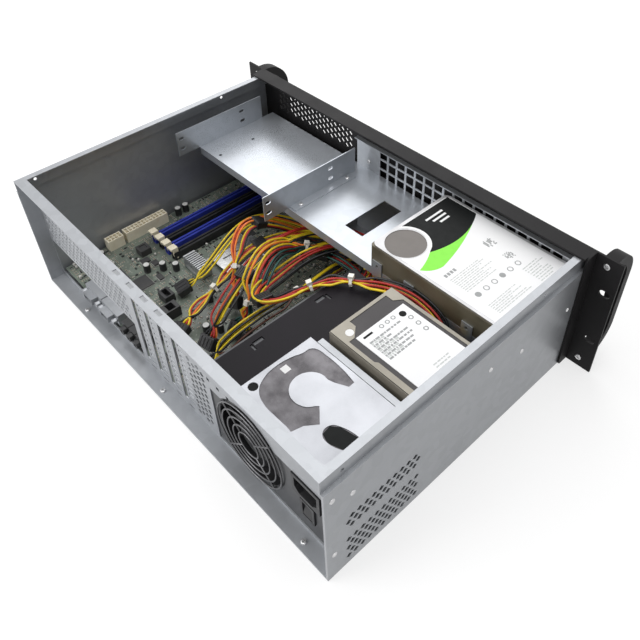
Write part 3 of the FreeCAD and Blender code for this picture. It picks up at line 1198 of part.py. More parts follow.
def dimm_socket(k):
    """Memory socket: a long grooved bar that ends in a fork for its latch."""
    x = dimm_x(k)
    pivot = latch_pivot()
    outer, groove = across(x, DIMM_WIDTH), across(x, DIMM_GROOVE)
    floor = BOARD_TOP + DIMM_GROOVE_FLOOR
    top = BOARD_TOP + DIMM_HEIGHT
    post_top = top + DIMM_POST_RISE
    body = box(*outer, DIMM_FRONT, DIMM_REAR, BOARD_TOP, top)
    post = box(*outer, DIMM_FRONT, DIMM_FRONT + DIMM_POST_LENGTH, BOARD_TOP, post_top)
    latch_front = DIMM_REAR - LATCH_LENGTH
    tools = [box(*groove, DIMM_FRONT + DIMM_GROOVE_START, latch_front - DIMM_GROOVE_END, floor, top + PAST),
             box(*across(x, DIMM_WIDTH - 2 * DIMM_FORK_WALL), latch_front - DIMM_FORK_ROOM, DIMM_REAR + PAST,
                 BOARD_TOP + DIMM_FORK_FLOOR, top + PAST),
             box(*groove, DIMM_FRONT + DIMM_POST_SLOT_START, DIMM_FRONT + DIMM_GROOVE_START, floor,
                 post_top + PAST)]
    radius = (LATCH_PIN + SHAFT_GAP) / math.cos(math.pi / BORE_SIDES)
    tools.append(stud(BORE_SIDES, radius, (outer[0] - PAST, *pivot), (outer[1] + PAST, *pivot)))
    return cut(fuse([body, post]), tools)


def dimm_latch(k):
    """Ejector lever that swings out to the rear on its pin."""
    x = dimm_x(k)
    y, z = latch_pivot()
    lever = profile_x([(y + a, z + b) for a, b in LATCH_SIDE],
                      *across(x, DIMM_WIDTH - 2 * (DIMM_FORK_WALL + LATCH_GAP)))
    pad = profile_x([(y + a, z + b) for a, b in LATCH_PAD], *across(x, DIMM_WIDTH + 2 * LATCH_PAD_LAP))
    right, left = across(x, DIMM_WIDTH - 2 * LATCH_PIN_INSET)
    return fuse([lever, pad, stud(PIN_SIDES, LATCH_PIN, (right, y, z), (left, y, z))])


def chipset_heatsink():
    """Finned block on its chip."""
    x, y = board_place(*HEATSINK_PLACE)
    inset_x, inset_y = HEATSINK_CHIP_INSETS
    block = block_on_board(x, y, HEATSINK_WIDTH, HEATSINK_DEPTH, HEATSINK_CHIP, HEATSINK_HEIGHT)
    chip = block_on_board(x, y, HEATSINK_WIDTH - 2 * inset_x, HEATSINK_DEPTH - 2 * inset_y, 0, HEATSINK_CHIP)
    pitch = HEATSINK_WIDTH / FIN_COUNT
    tools = []
    for k in range(1, FIN_COUNT):
        tools.append(block_on_board(x - HEATSINK_WIDTH / 2 + k * pitch, y, pitch * FIN_SLOT_SHARE,
                                    HEATSINK_DEPTH + 2 * PAST, HEATSINK_BASE, HEATSINK_HEIGHT + PAST))
    return fuse([cut(block, tools), chip])


def choke():
    """Coil's square case with a dished top."""
    x, y = board_place(*CHOKE[:2])
    width, depth, height = CHOKE[2:]
    dish = block_on_board(x, y, width - 2 * CHOKE_WALL, depth - 2 * CHOKE_WALL, height - CHOKE_DIP,
                          height + PAST)
    return block_on_board(x, y, width, depth, 0, height).cut(dish)


def chips():
    """Flat packages and the choke, each soldered on the board."""
    packages = [block_on_board(*board_place(x, y), width, depth, 0, height)
                for x, y, width, depth, height in CHIPS]
    return Part.makeCompound(packages + [choke()])


def capacitors():
    """Upright cans."""
    places = [board_place(*place) for place in CAPACITORS]
    return Part.makeCompound([stud(CAPACITOR_SIDES, CAPACITOR_RADIUS, (x, y, BOARD_TOP),
                                   (x, y, BOARD_TOP + CAPACITOR_HEIGHT)) for x, y in places])


def board_headers():
    """Black shrouded headers, each with a slot for its plug."""
    blocks = []
    for x, y, width, depth, height in HEADERS:
        place = board_place(x, y)
        slot = block_on_board(*place, width - 2 * HEADER_WALL, depth * HEADER_SLOT_SHARE, HEADER_FLOOR,
                              height + PAST)
        blocks.append(block_on_board(*place, width, depth, 0, height).cut(slot))
    return Part.makeCompound(blocks)


def cpu_socket_frame():
    """Hinged load plate and wire lever of the processor socket."""
    x, y = board_place(*CPU_SOCKET[:2])
    width, depth, height = CPU_SOCKET[2:]
    low = height - CPU_PLATE
    seat = block_on_board(x, y, width - 2 * CPU_FRAME_INSET, depth - 2 * CPU_FRAME_INSET, 0, low)
    window = block_on_board(x, y, width - 2 * CPU_WINDOW_INSET, depth - 2 * CPU_WINDOW_INSET, low,
                            height + PAST)
    plate = block_on_board(x, y, width, depth, low, height).cut(window)
    side, front, rear = x + width / 2 + CPU_LEVER_OFFSET, y - depth / 2, y + depth / 2
    lever = stud(BORE_SIDES, CPU_LEVER_RADIUS, (side, front + CPU_FRAME_INSET, BOARD_TOP + height),
                 (side, rear + CPU_LEVER_OVERHANG, BOARD_TOP + height))
    return fuse([seat, plate, lever])


def d_sub_ports():
    """Two nine-pin ports: a body on the board and a flanged shell through the opening."""
    ports = []
    front = REAR_INNER - PORT_GAP
    z = BOARD_TOP + PORT_NUT_RISE
    for place in PORT_PLACES:
        x = BOARD_LEFT - place
        pieces = [box(*across(x, PORT_WIDTH), BOARD_REAR - PORT_DEPTH, front, BOARD_TOP,
                      BOARD_TOP + PORT_HEIGHT)]
        nose = profile_y([(x + a, BOARD_TOP + b) for a, b in PORT_SHELL], front, REAR_FACE + PORT_STAND)
        pieces.append(nose.cut(profile_y([(x + a, BOARD_TOP + b) for a, b in PORT_HOLLOW], REAR_FACE,
                                         REAR_FACE + PORT_STAND + PAST)))
        for nut_x in across(x, 2 * PORT_NUT_SPREAD):
            nut = (nut_x, REAR_FACE - PORT_NUT_START + PORT_NUT_LENGTH / 2, z)
            pieces.append(polygon_hole(PORT_NUT_SIDES, PORT_NUT, nut, (0, PORT_NUT_LENGTH, 0)))
            pieces.append(box(*across(nut_x, PORT_GRIP), REAR_INNER - PORT_GRIP_LAP, REAR_FACE,
                              *across(z, PORT_GRIP)))
        ports.append(fuse(pieces))
    return Part.makeCompound(ports)


def audio_jacks():
    """Three round jacks through the opening."""
    jacks = []
    front = REAR_INNER - PORT_GAP
    z = BOARD_TOP + JACK_RISE
    for place in JACK_PLACES:
        x = BOARD_LEFT - place
        body = box(*across(x, JACK_WIDTH), BOARD_REAR - JACK_DEPTH, front, BOARD_TOP, BOARD_TOP + JACK_HEIGHT)
        ring = stud(PIN_SIDES, JACK_RING, (x, front, z), (x, REAR_FACE + JACK_STAND, z))
        bore = stud(BORE_SIDES, JACK_BORE, (x, REAR_INNER - JACK_BORE_DEPTH, z),
                    (x, REAR_FACE + JACK_STAND + PAST, z))
        jacks.append(fuse([body, ring]).cut(bore))
    return Part.makeCompound(jacks)


# ---------------------------------------------------------------- fasteners
def case_rivets():
    """Low domed heads on the outside of the walls."""
    rear = [(BODY_DEPTH - RIVET_REAR_INSET, z) for z in RIVET_REAR_RISES]
    others = [(BRACKET_FRONT + inset, BRACKET_TOP + RIVET_BRACKET_RISE) for inset in RIVET_BRACKET_INSETS]
    others += [(TRAY_FRONT + inset, TRAY_TOP - RIVET_TRAY_DROP) for inset in RIVET_TRAY_INSETS]
    heads = []
    for side, places in ((-1, rear + others), (1, rear)):
        for y, z in places:
            heads.append(stud(BORE_SIDES, RIVET_RADIUS, (side * HALF, y, z),
                              (side * (HALF + RIVET_HEIGHT), y, z)))
    return Part.makeCompound(heads)


def screw(radius, place, along):
    """Screw head that stands on a place."""
    start = V(*place)
    return stud(BORE_SIDES, radius, start, start + V(*along))


def case_screws():
    """Screws through the rear panel's foot, the divider's foot, the ears and the grille plate."""
    up = (0, 0, SCREW_HEIGHT)
    y = BODY_DEPTH - FLOOR_SCREW_INSET
    screws = [screw(SCREW_RADIUS, (x, y, 2 * SHEET), up) for x in FLOOR_SCREWS]
    x = DIVIDER_X - SHEET - DIVIDER_FOOT / 2
    for inset in DIVIDER_SCREW_INSETS:
        screws.append(screw(DIVIDER_SCREW_RADIUS, (x, TRAY_REAR - inset, TRAY_TOP + SHEET), up))
    for side in (-1, 1):
        for z in handle_feet():
            screws.append(screw(HANDLE_SCREW_RADIUS, (side * HANDLE_X, -HANDLE_SCREW_DEPTH, z),
                                (0, HANDLE_SCREW_DEPTH, 0)))
    place = (GRILLE_LEFT - GRILLE_SCREW_INSET, GRILLE_FRONT + SHEET, GRILLE_TOP - GRILLE_SCREW_DROP)
    screws.append(screw(SCREW_RADIUS, place, (0, SCREW_HEIGHT, 0)))
    return Part.makeCompound(screws)


# ---------------------------------------------------------------- cable looms
def loom(points):
    """Tube of straight runs joined by tangent arcs; also its length and smallest radius."""
    corners = [V(*p) for p in points]
    edges = []
    at = corners[0]
    smallest = float("inf")
    for before, corner, after in zip(corners, corners[1:], corners[2:]):
        inward = (corner - before).normalize()
        outward = (after - corner).normalize()
        half_turn = inward.getAngle(outward) / 2
        cut_back = LOOM_ARC_SHARE * min((corner - before).Length, (after - corner).Length)
        radius = cut_back / math.tan(half_turn)
        smallest = min(smallest, radius)
        start = corner - inward * cut_back
        end = corner + outward * cut_back
        towards = (outward - inward).normalize()
        middle = corner + towards * (radius / math.cos(half_turn) - radius)
        edges.append(Part.LineSegment(at, start).toShape())
        edges.append(Part.Arc(start, middle, end).toShape())
        at = end
    edges.append(Part.LineSegment(at, corners[-1]).toShape())
    path = Part.Wire(edges)
    turned = FreeCAD.Rotation(V(0, 0, 1), corners[1] - corners[0])
    step = math.tau / LOOM_SIDES
    reach = LOOM_RADIUS * math.sqrt(step / math.sin(step))
    angles = [step * k for k in range(LOOM_SIDES)]
    outline = [corners[0] + turned.multVec(V(reach * math.cos(a), reach * math.sin(a), 0)) for a in angles]
    section = Part.Face(Part.makePolygon(outline + outline[:1]))
    return Part.Solid(path.makePipe(section)), path.Length, smallest


def plug(points, size):
    """Moulded plug on a loom's end, with a latch bar, lined up with the last run."""
    width, height, length = size
    end = V(*points[-1])
    direction = (end - V(*points[-2])).normalize()
    body = box(*across(0, width), *across(0, height), 0, length)
    latch = box(*across(0, PLUG_LATCH_WIDTH), height / 2, height / 2 + PLUG_LATCH_HEIGHT, PLUG_LATCH_INSET,
                length - PLUG_LATCH_INSET)
    shape = fuse([body, latch])
    level = V(1, 0, 0) - direction * direction.x
    level.normalize()
    turned = FreeCAD.Rotation(level, direction.cross(level), direction, "ZXY")
    shape.Placement = FreeCAD.Placement(end, turned)
    return shape


def cable_plugs():
    """The looms' plugs."""
    return Part.makeCompound([plug(route, PLUG_SIZES[name]) for name, route in LOOM_ROUTES.items()])


def cable_ties():
    """Ties round the looms on straight stretches: a band and its square head."""
    ties = []
    grip = (LOOM_RADIUS + TIE_GAP) / math.cos(math.pi / TIE_SIDES)
    low = LOOM_RADIUS + TIE_HEAD_RISE
    for name, run in TIE_PLACES:
        start, end = V(*LOOM_ROUTES[name][run]), V(*LOOM_ROUTES[name][run + 1])
        along = (end - start).normalize()
        middle = (start + end) / 2
        first, last = middle - along * (TIE_WIDTH / 2), middle + along * (TIE_WIDTH / 2)
        band = stud(TIE_SIDES, grip + TIE_BAND, first, last)
        band = band.cut(stud(TIE_SIDES, grip, first - along, last + along))
        up = V(0, 0, 1) - along * along.z
        up.normalize()
        head = box(*across(0, TIE_HEAD_WIDTH), *across(0, TIE_HEAD_LENGTH), low, low + TIE_HEAD_HEIGHT)
        head.Placement = FreeCAD.Placement(middle, FreeCAD.Rotation(along, along.cross(up) * -1, up, "ZXY"))
        ties.append(fuse([band, head]))
    return Part.makeCompound(ties)


# ---------------------------------------------------------------- write the nodes
SINGLE_NODES = (chassis_body, rear_panel, front_panel, front_grille_plate, drive_tray, bay_divider,
                small_drive_bracket, small_drive_angle, bare_drive_base, bare_drive_cover,
                dark_drive_base, dark_drive_cover, dark_drive_label, psu_base, psu_cover, psu_fan_frame,
                psu_fan_rotor, psu_fan_guard, psu_inlet, psu_switch_frame, psu_switch_rocker, psu_gland,
                motherboard, standoffs, power_sockets, chipset_heatsink, cpu_socket_frame, chips,
                capacitors, board_headers, d_sub_ports, audio_jacks, case_rivets, case_screws,
                cable_plugs, cable_ties)


def main():
    """Build and save every node."""
    for make in SINGLE_NODES:
        save(make.__name__, make())
    save("handle_left", handle(1))
    save("handle_right", handle(-1))
    save("hard_drive_base", hdd_base())
    save("hard_drive_cover", hdd_cover())
    save("hard_drive_label", hdd_label())
    for k in range(SLOT_COUNT):
        save(f"slot_cover_{k + 1}", slot_cover(k))
    for k in range(DIMM_COUNT):
        save(f"dimm_socket_{k + 1}", dimm_socket(k))
        save(f"dimm_latch_{k + 1}", dimm_latch(k))
    for name, route in LOOM_ROUTES.items():
        tube, length, smallest = loom(route)
        share = tube.Volume / (math.pi * LOOM_RADIUS ** 2 * length)
        print(f"{name}: length {length:.1f}, smallest bend {smallest:.1f}, volume share {share:.4f}")
        save(name, tube)
    print("facets in all", save.facets)


main()
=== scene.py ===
"""Looks of an open 3U rackmount server case with its contents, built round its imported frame.

Metres, +Z up, +X to the right when the front panel is seen from outside it at -Y.
"""
import math
import random

import bmesh
import bpy
from mathutils import Matrix, Vector


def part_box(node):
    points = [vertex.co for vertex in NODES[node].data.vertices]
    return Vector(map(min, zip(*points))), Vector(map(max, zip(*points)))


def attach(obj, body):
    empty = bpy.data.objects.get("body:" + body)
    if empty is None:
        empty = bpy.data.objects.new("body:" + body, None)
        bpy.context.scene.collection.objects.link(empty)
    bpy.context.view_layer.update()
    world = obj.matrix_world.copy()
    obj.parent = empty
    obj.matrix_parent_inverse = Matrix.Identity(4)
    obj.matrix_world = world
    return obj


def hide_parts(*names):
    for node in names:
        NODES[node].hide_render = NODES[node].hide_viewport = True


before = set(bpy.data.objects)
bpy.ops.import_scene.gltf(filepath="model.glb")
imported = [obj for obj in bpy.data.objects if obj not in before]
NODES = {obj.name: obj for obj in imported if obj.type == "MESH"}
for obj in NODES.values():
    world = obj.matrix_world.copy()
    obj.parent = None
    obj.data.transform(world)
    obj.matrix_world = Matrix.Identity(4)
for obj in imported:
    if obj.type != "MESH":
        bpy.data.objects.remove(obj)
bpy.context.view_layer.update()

bl_info = {
    "name": "Rackmount Server Case",
    "version": (1, 0, 0),
    "blender": (4, 5, 0),
    "location": "3D View > Sidebar > Server Case",
    "description": "Finishes, wiring, labels and small parts of an open rackmount server case",
    "category": "Object",
}

UP = Vector((0, 0, 1))
MIX_LOW, MIX_HIGH = 2, 3                          # float sockets of a Mix node
MIX_A, MIX_B, MIX_COLOUR = 6, 7, 2                # its colour sockets
RANDOM_LOW, RANDOM_HIGH, RANDOM_VALUE = 2, 3, 1   # float sockets of a Random Value node
WHOLE_LOW, WHOLE_HIGH, WHOLE_VALUE = 4, 5, 2      # its whole number sockets


# ---------------------------------------------------------------- routes of the wiring
LOOM_ROUTES = {
    "loom_main": [(-0.078, 0.140, 0.070), (-0.078, 0.118, 0.070), (-0.062, 0.103, 0.061),
                  (-0.038, 0.095, 0.057), (-0.010, 0.094, 0.054), (0.014, 0.101, 0.052),
                  (0.026, 0.120, 0.057), (0.025, 0.139, 0.068), (0.018, 0.158, 0.075),
                  (0.010, 0.176, 0.070), (0.005, 0.189, 0.057), (0.003, 0.197, 0.041),
                  (0.004, 0.205, 0.026)],
    "loom_side": [(-0.066, 0.140, 0.056), (-0.066, 0.118, 0.056), (-0.064, 0.097, 0.054),
                  (-0.054, 0.081, 0.051), (-0.038, 0.076, 0.048), (-0.023, 0.082, 0.046),
                  (-0.014, 0.097, 0.045), (-0.015, 0.118, 0.046), (-0.019, 0.143, 0.049),
                  (-0.019, 0.170, 0.052), (-0.017, 0.197, 0.051), (-0.014, 0.220, 0.045),
                  (-0.012, 0.238, 0.036), (-0.010, 0.250, 0.025)],
    "loom_drives": [(-0.066, 0.140, 0.070), (-0.066, 0.120, 0.070), (-0.060, 0.101, 0.069),
                    (-0.046, 0.087, 0.067), (-0.027, 0.083, 0.065), (-0.009, 0.091, 0.063),
                    (0.002, 0.107, 0.061), (0.006, 0.127, 0.060), (0.004, 0.148, 0.060),
                    (0.000, 0.166, 0.062), (-0.004, 0.182, 0.065), (-0.014, 0.194, 0.070),
                    (-0.028, 0.197, 0.076), (-0.040, 0.189, 0.082), (-0.048, 0.174, 0.088),
                    (-0.056, 0.158, 0.092), (-0.067, 0.144, 0.094), (-0.083, 0.135, 0.095),
                    (-0.100, 0.124, 0.096), (-0.119, 0.117, 0.096), (-0.139, 0.116, 0.094),
                    (-0.157, 0.117, 0.086), (-0.168, 0.118, 0.072)],
    "loom_tall": [(-0.078, 0.140, 0.056), (-0.078, 0.118, 0.056), (-0.072, 0.097, 0.051),
                  (-0.057, 0.080, 0.044), (-0.035, 0.071, 0.038), (-0.009, 0.070, 0.034),
                  (0.017, 0.074, 0.033), (0.042, 0.082, 0.037), (0.062, 0.096, 0.046),
                  (0.073, 0.115, 0.058), (0.075, 0.137, 0.068), (0.067, 0.155, 0.066),
                  (0.056, 0.169, 0.056), (0.046, 0.179, 0.043), (0.038, 0.187, 0.027)],
    "loom_fan": [(-0.090, 0.140, 0.056), (-0.090, 0.118, 0.056), (-0.085, 0.095, 0.051),
                 (-0.071, 0.076, 0.043), (-0.048, 0.064, 0.034), (-0.020, 0.059, 0.026),
                 (0.010, 0.058, 0.022), (0.040, 0.060, 0.021), (0.069, 0.066, 0.022),
                 (0.091, 0.077, 0.026), (0.103, 0.093, 0.033), (0.104, 0.114, 0.041),
                 (0.098, 0.137, 0.045), (0.091, 0.159, 0.042), (0.086, 0.179, 0.034),
                 (0.086, 0.195, 0.025), (0.089, 0.207, 0.021)],
    "loom_board": [(-0.090, 0.140, 0.070), (-0.090, 0.118, 0.070), (-0.084, 0.096, 0.066),
                   (-0.068, 0.079, 0.060), (-0.045, 0.071, 0.054), (-0.018, 0.069, 0.049),
                   (0.009, 0.073, 0.046), (0.033, 0.084, 0.045), (0.051, 0.101, 0.045),
                   (0.062, 0.122, 0.045), (0.066, 0.145, 0.043), (0.063, 0.167, 0.038),
                   (0.058, 0.188, 0.033), (0.054, 0.208, 0.029), (0.051, 0.226, 0.024),
                   (0.047, 0.241, 0.020)],
    "loom_spare": [(-0.102, 0.140, 0.070), (-0.102, 0.118, 0.070), (-0.096, 0.096, 0.067),
                   (-0.080, 0.078, 0.063), (-0.056, 0.067, 0.060), (-0.028, 0.062, 0.058),
                   (-0.001, 0.066, 0.058), (0.020, 0.079, 0.059), (0.033, 0.098, 0.060),
                   (0.038, 0.121, 0.061), (0.036, 0.145, 0.061), (0.031, 0.168, 0.060),
                   (0.024, 0.190, 0.056), (0.018, 0.209, 0.050), (0.014, 0.224, 0.041),
                   (0.011, 0.235, 0.029)],
}
# Insulation of each loom's wires, from its left side to its right.
LOOM_COLOURS = {
    "loom_main": ("yellow", "yellow", "orange", "lavender", "yellow", "orange", "red", "red", "teal", "black",
                  "teal"),
    "loom_side": ("yellow", "yellow", "black", "yellow", "black", "brown"),
    "loom_drives": ("yellow", "orange", "red", "yellow", "red", "black", "black"),
    "loom_tall": ("orange", "red", "orange", "yellow", "red", "black"),
    "loom_fan": ("yellow", "black", "yellow", "black", "yellow"),
    "loom_board": ("yellow", "red", "red", "orange", "yellow", "black", "black"),
    "loom_spare": ("red", "orange", "red", "yellow", "black", "yellow", "black"),
}
# Runs of a route on which a black housing joins the wires.
LOOM_HOUSINGS = {"loom_main": (4,), "loom_tall": (9,), "loom_drives": (11,), "loom_board": (9,),
                 "loom_spare": (11,)}
# Runs of a route that a tie holds: index of the run's first point.
LOOM_TIES = {"loom_main": (10, 5), "loom_side": (8,), "loom_drives": (14, 16), "loom_tall": (12,),
             "loom_board": (12,)}
PLUG_SIZES = {"loom_main": (0.024, 0.0096, 0.014), "loom_side": (0.016, 0.008, 0.014),
              "loom_drives": (0.020, 0.007, 0.012), "loom_tall": (0.014, 0.008, 0.012),
              "loom_fan": (0.014, 0.009, 0.014), "loom_board": (0.016, 0.009, 0.014),
              "loom_spare": (0.018, 0.009, 0.012)}
WIRE_COLOURS = {"yellow": (0.80, 0.60, 0.02), "orange": (0.82, 0.22, 0.03), "red": (0.42, 0.022, 0.018),
                "lavender": (0.33, 0.25, 0.50), "teal": (0.01, 0.07, 0.06), "black": (0.012, 0.012, 0.014),
                "brown": (0.10, 0.035, 0.02)}
HOUSING_BLACK = (0.013, 0.013, 0.014)
SEAT_GREY = (0.05, 0.05, 0.05)
LOOM_RADIUS = 0.0030      # of a bundle where it is tied
TIE_HALF = 0.002          # along the bundle, kept closed on each side of a tie's middle
OPEN_RISE = 0.45          # of the spread, by which alternate wires lie above and below
WANDER_SIDE = 0.0007      # sideways and upward shares of a wire's wander
WANDER_UP = 0.0008
WIRE_SIDES = 7
PLUG_GATHER = 0.016       # before a plug, over which the wires line up with its rows
ONE_ROW_COUNT = 5         # wires, up to which a plug has a single row
ONE_ROW_HEIGHT = 0.0075
ROW_INSET = (0.004, 0.003)


# ---------------------------------------------------------------- settings
def length(name, description, default):
    return bpy.props.FloatProperty(name=name, description=description, default=default, unit="LENGTH")


def number(name, description, default):
    return bpy.props.FloatProperty(name=name, description=description, default=default)


def colour(name, description, default):
    return bpy.props.FloatVectorProperty(name=name, description=description, default=default, size=3,
                                         subtype="COLOR", min=0.0, max=1.0)


class CaseFinishSettings(bpy.types.PropertyGroup):
    steel: colour("Steel", "Colour of the galvanised sheet", (0.355, 0.368, 0.388))
    # Tray colour is the galvanised steel made lighter: painted light for the brightly lit tray deck, and
    # painted reflection of that deck in the divider and flanges.
    tray: colour("Tray", "Brighter sheet of the drive tray and the divider", (0.44, 0.465, 0.50))
    front: colour("Front", "Powder coat of the front panel and handles", (0.009, 0.0085, 0.009))
    lacquer: colour("Lacquer", "Solder mask of the board", (0.088, 0.104, 0.086))


class CaseWiringSettings(bpy.types.PropertyGroup):
    wire_radius: length("Wire Radius", "Half the width of one insulated wire", 0.00105)
    spread: length("Spread", "Distance between neighbouring wires where a loom is open", 0.00225)
    reach: length("Reach", "Distance from a tie over which a loom opens", 0.018)
    step: length("Step", "Distance between the rings of a wire", 0.0028)


class CaseDetailSettings(bpy.types.PropertyGroup):
    cell: length("Cell", "Side of the square that one small part on the board takes", 0.0044)
    drift: length("Drift", "How far a small part may leave the middle of its cell", 0.0005)
    seed: bpy.props.IntProperty(name="Seed", description="Chooses which part each cell takes", default=7)
    recess: length("Recess", "Depth below a drive's top face at which its dark field starts", 0.0003)


class CaseStageSettings(bpy.types.PropertyGroup):
    floor: length("Floor", "Side of the square floor", 12.0)
    key_power: number("Key Power", "Watts of the front softbox", 13.0)
    top_power: number("Top Power", "Watts of the overhead softbox", 17.0)
    rear_power: number("Rear Power", "Watts of the softbox behind the case", 22.0)
    fill: number("Fill", "Strength of the room light", 0.34)


# ---------------------------------------------------------------- shader building
def add_node(tree, kind, inputs=None, **settings):
    """One node with its settings, and its inputs linked or set."""
    node = tree.nodes.new(kind)
    for key, value in settings.items():
        setattr(node, key, value)
    for key, value in (inputs or {}).items():
        if isinstance(value, bpy.types.NodeSocket):
            tree.links.new(value, node.inputs[key])
        else:
            node.inputs[key].default_value = value
    return node


def rgba(shade):
    return (*shade, 1.0)


def fine_finish_group():
    """Patchy colour, uneven roughness and a fine grain, on object coordinates."""
    found = bpy.data.node_groups.get("fine_finish")
    if found:
        return found
    tree = bpy.data.node_groups.new("fine_finish", "ShaderNodeTree")
    for name, kind, value in (("Shade", "NodeSocketColor", (0.5, 0.5, 0.5, 1)),
                              ("Mottle", "NodeSocketColor", (0.4, 0.4, 0.4, 1)),
                              ("Patch Scale", "NodeSocketFloat", 20.0),
                              ("Grain Scale", "NodeSocketFloat", 900.0),
                              ("Low Roughness", "NodeSocketFloat", 0.4),
                              ("High Roughness", "NodeSocketFloat", 0.6)):
        tree.interface.new_socket(name, in_out="INPUT", socket_type=kind).default_value = value
    for name, kind in (("Colour", "NodeSocketColor"), ("Roughness", "NodeSocketFloat"),
                       ("Height", "NodeSocketFloat")):
        tree.interface.new_socket(name, in_out="OUTPUT", socket_type=kind)
    given = add_node(tree, "NodeGroupInput").outputs
    place = add_node(tree, "ShaderNodeTexCoord").outputs["Object"]
    patches = add_node(tree, "ShaderNodeTexNoise",
                       {"Vector": place, "Scale": given["Patch Scale"], "Detail": 4.0})
    grain = add_node(tree, "ShaderNodeTexNoise",
                     {"Vector": place, "Scale": given["Grain Scale"], "Detail": 2.0})
    share = add_node(tree, "ShaderNodeMapRange",
                     {"Value": patches.outputs["Fac"], "From Min": 0.36, "From Max": 0.66})
    speck = add_node(tree, "ShaderNodeMapRange",
                     {"Value": grain.outputs["Fac"], "From Min": 0.3, "From Max": 0.7})
    patch_share = 0.75
    both = add_node(tree, "ShaderNodeMath", {0: share.outputs[0], 1: patch_share}, operation="MULTIPLY")
    both = add_node(tree, "ShaderNodeMath", {0: speck.outputs[0], 1: 1 - patch_share, 2: both.outputs[0]},
                    operation="MULTIPLY_ADD")
    shade = add_node(tree, "ShaderNodeMix",
                     {0: both.outputs[0], MIX_A: given["Shade"], MIX_B: given["Mottle"]}, data_type="RGBA")
    rough = add_node(tree, "ShaderNodeMapRange", {"Value": both.outputs[0], "To Min": given["Low Roughness"],
                                                  "To Max": given["High Roughness"]})
    add_node(tree, "NodeGroupOutput", {"Colour": shade.outputs[MIX_COLOUR], "Roughness": rough.outputs[0],
                                       "Height": grain.outputs["Fac"]})
    return tree


def place_group(tree, shade, mottle, patch, grain, rough):
    """Shared finish group placed in a material, its patches and grain given by their sizes."""
    group = add_node(tree, "ShaderNodeGroup", node_tree=fine_finish_group())
    for socket, value in (("Shade", rgba(shade)), ("Mottle", rgba(mottle)), ("Patch Scale", 1 / patch),
                          ("Grain Scale", 1 / grain), ("Low Roughness", rough[0]),
                          ("High Roughness", rough[1])):
        group.inputs[socket].default_value = value
    return group


def start_material(name, shade, mottle, patch, grain, rough):
    """Material with the shared finish group placed in its tree; gives all three."""
    material = bpy.data.materials.new(name)
    material.use_nodes = True
    tree = material.node_tree
    tree.nodes.clear()
    return material, tree, place_group(tree, shade, mottle, patch, grain, rough)


def end_material(tree, group, colour_socket=None, rough_socket=None, height_socket=None, depth=0.00003,
                 **constants):
    """Principled shader fed by the group or by what was made of it."""
    bump = add_node(tree, "ShaderNodeBump", {"Height": height_socket or group.outputs["Height"],
                                             "Distance": depth, "Strength": 0.6})
    shader = add_node(tree, "ShaderNodeBsdfPrincipled",
                      {"Base Color": colour_socket or group.outputs["Colour"],
                       "Roughness": rough_socket or group.outputs["Roughness"],
                       "Normal": bump.outputs["Normal"]})
    for name, value in constants.items():
        shader.inputs[name.replace("_", " ").title().replace("Ior", "IOR")].default_value = value
    add_node(tree, "ShaderNodeOutputMaterial", {"Surface": shader.outputs["BSDF"]})
    return shader


def plain_finish(name, shade, mottle, patch, grain, rough, depth, **constants):
    material, tree, group = start_material(name, shade, mottle, patch, grain, rough)
    end_material(tree, group, depth=depth, **constants)
    return material


def mix(tree, factor, first, second, blend="MIX"):
    node = add_node(tree, "ShaderNodeMix", {0: factor, MIX_A: first, MIX_B: second}, data_type="RGBA",
                    blend_type=blend)
    return node.outputs[MIX_COLOUR]


def steel_finish(name, shade, metallic, rough):
    """Galvanised sheet: zinc crystals of slightly different greys under rolling marks."""
    material, tree, group = start_material(name, shade, [c * 0.93 for c in shade], 0.25, 0.0006, rough)
    place = add_node(tree, "ShaderNodeTexCoord").outputs["Object"]
    crystals = add_node(tree, "ShaderNodeTexVoronoi", {"Vector": place, "Scale": 130.0, "Randomness": 1.0})
    tone = add_node(tree, "ShaderNodeSeparateColor", {"Color": crystals.outputs["Color"]}).outputs["Red"]
    light = mix(tree, tone, group.outputs["Colour"], rgba([min(1, c * 1.05) for c in shade]))
    end_material(tree, group, colour_socket=light, depth=0.000008, metallic=metallic)
    return material


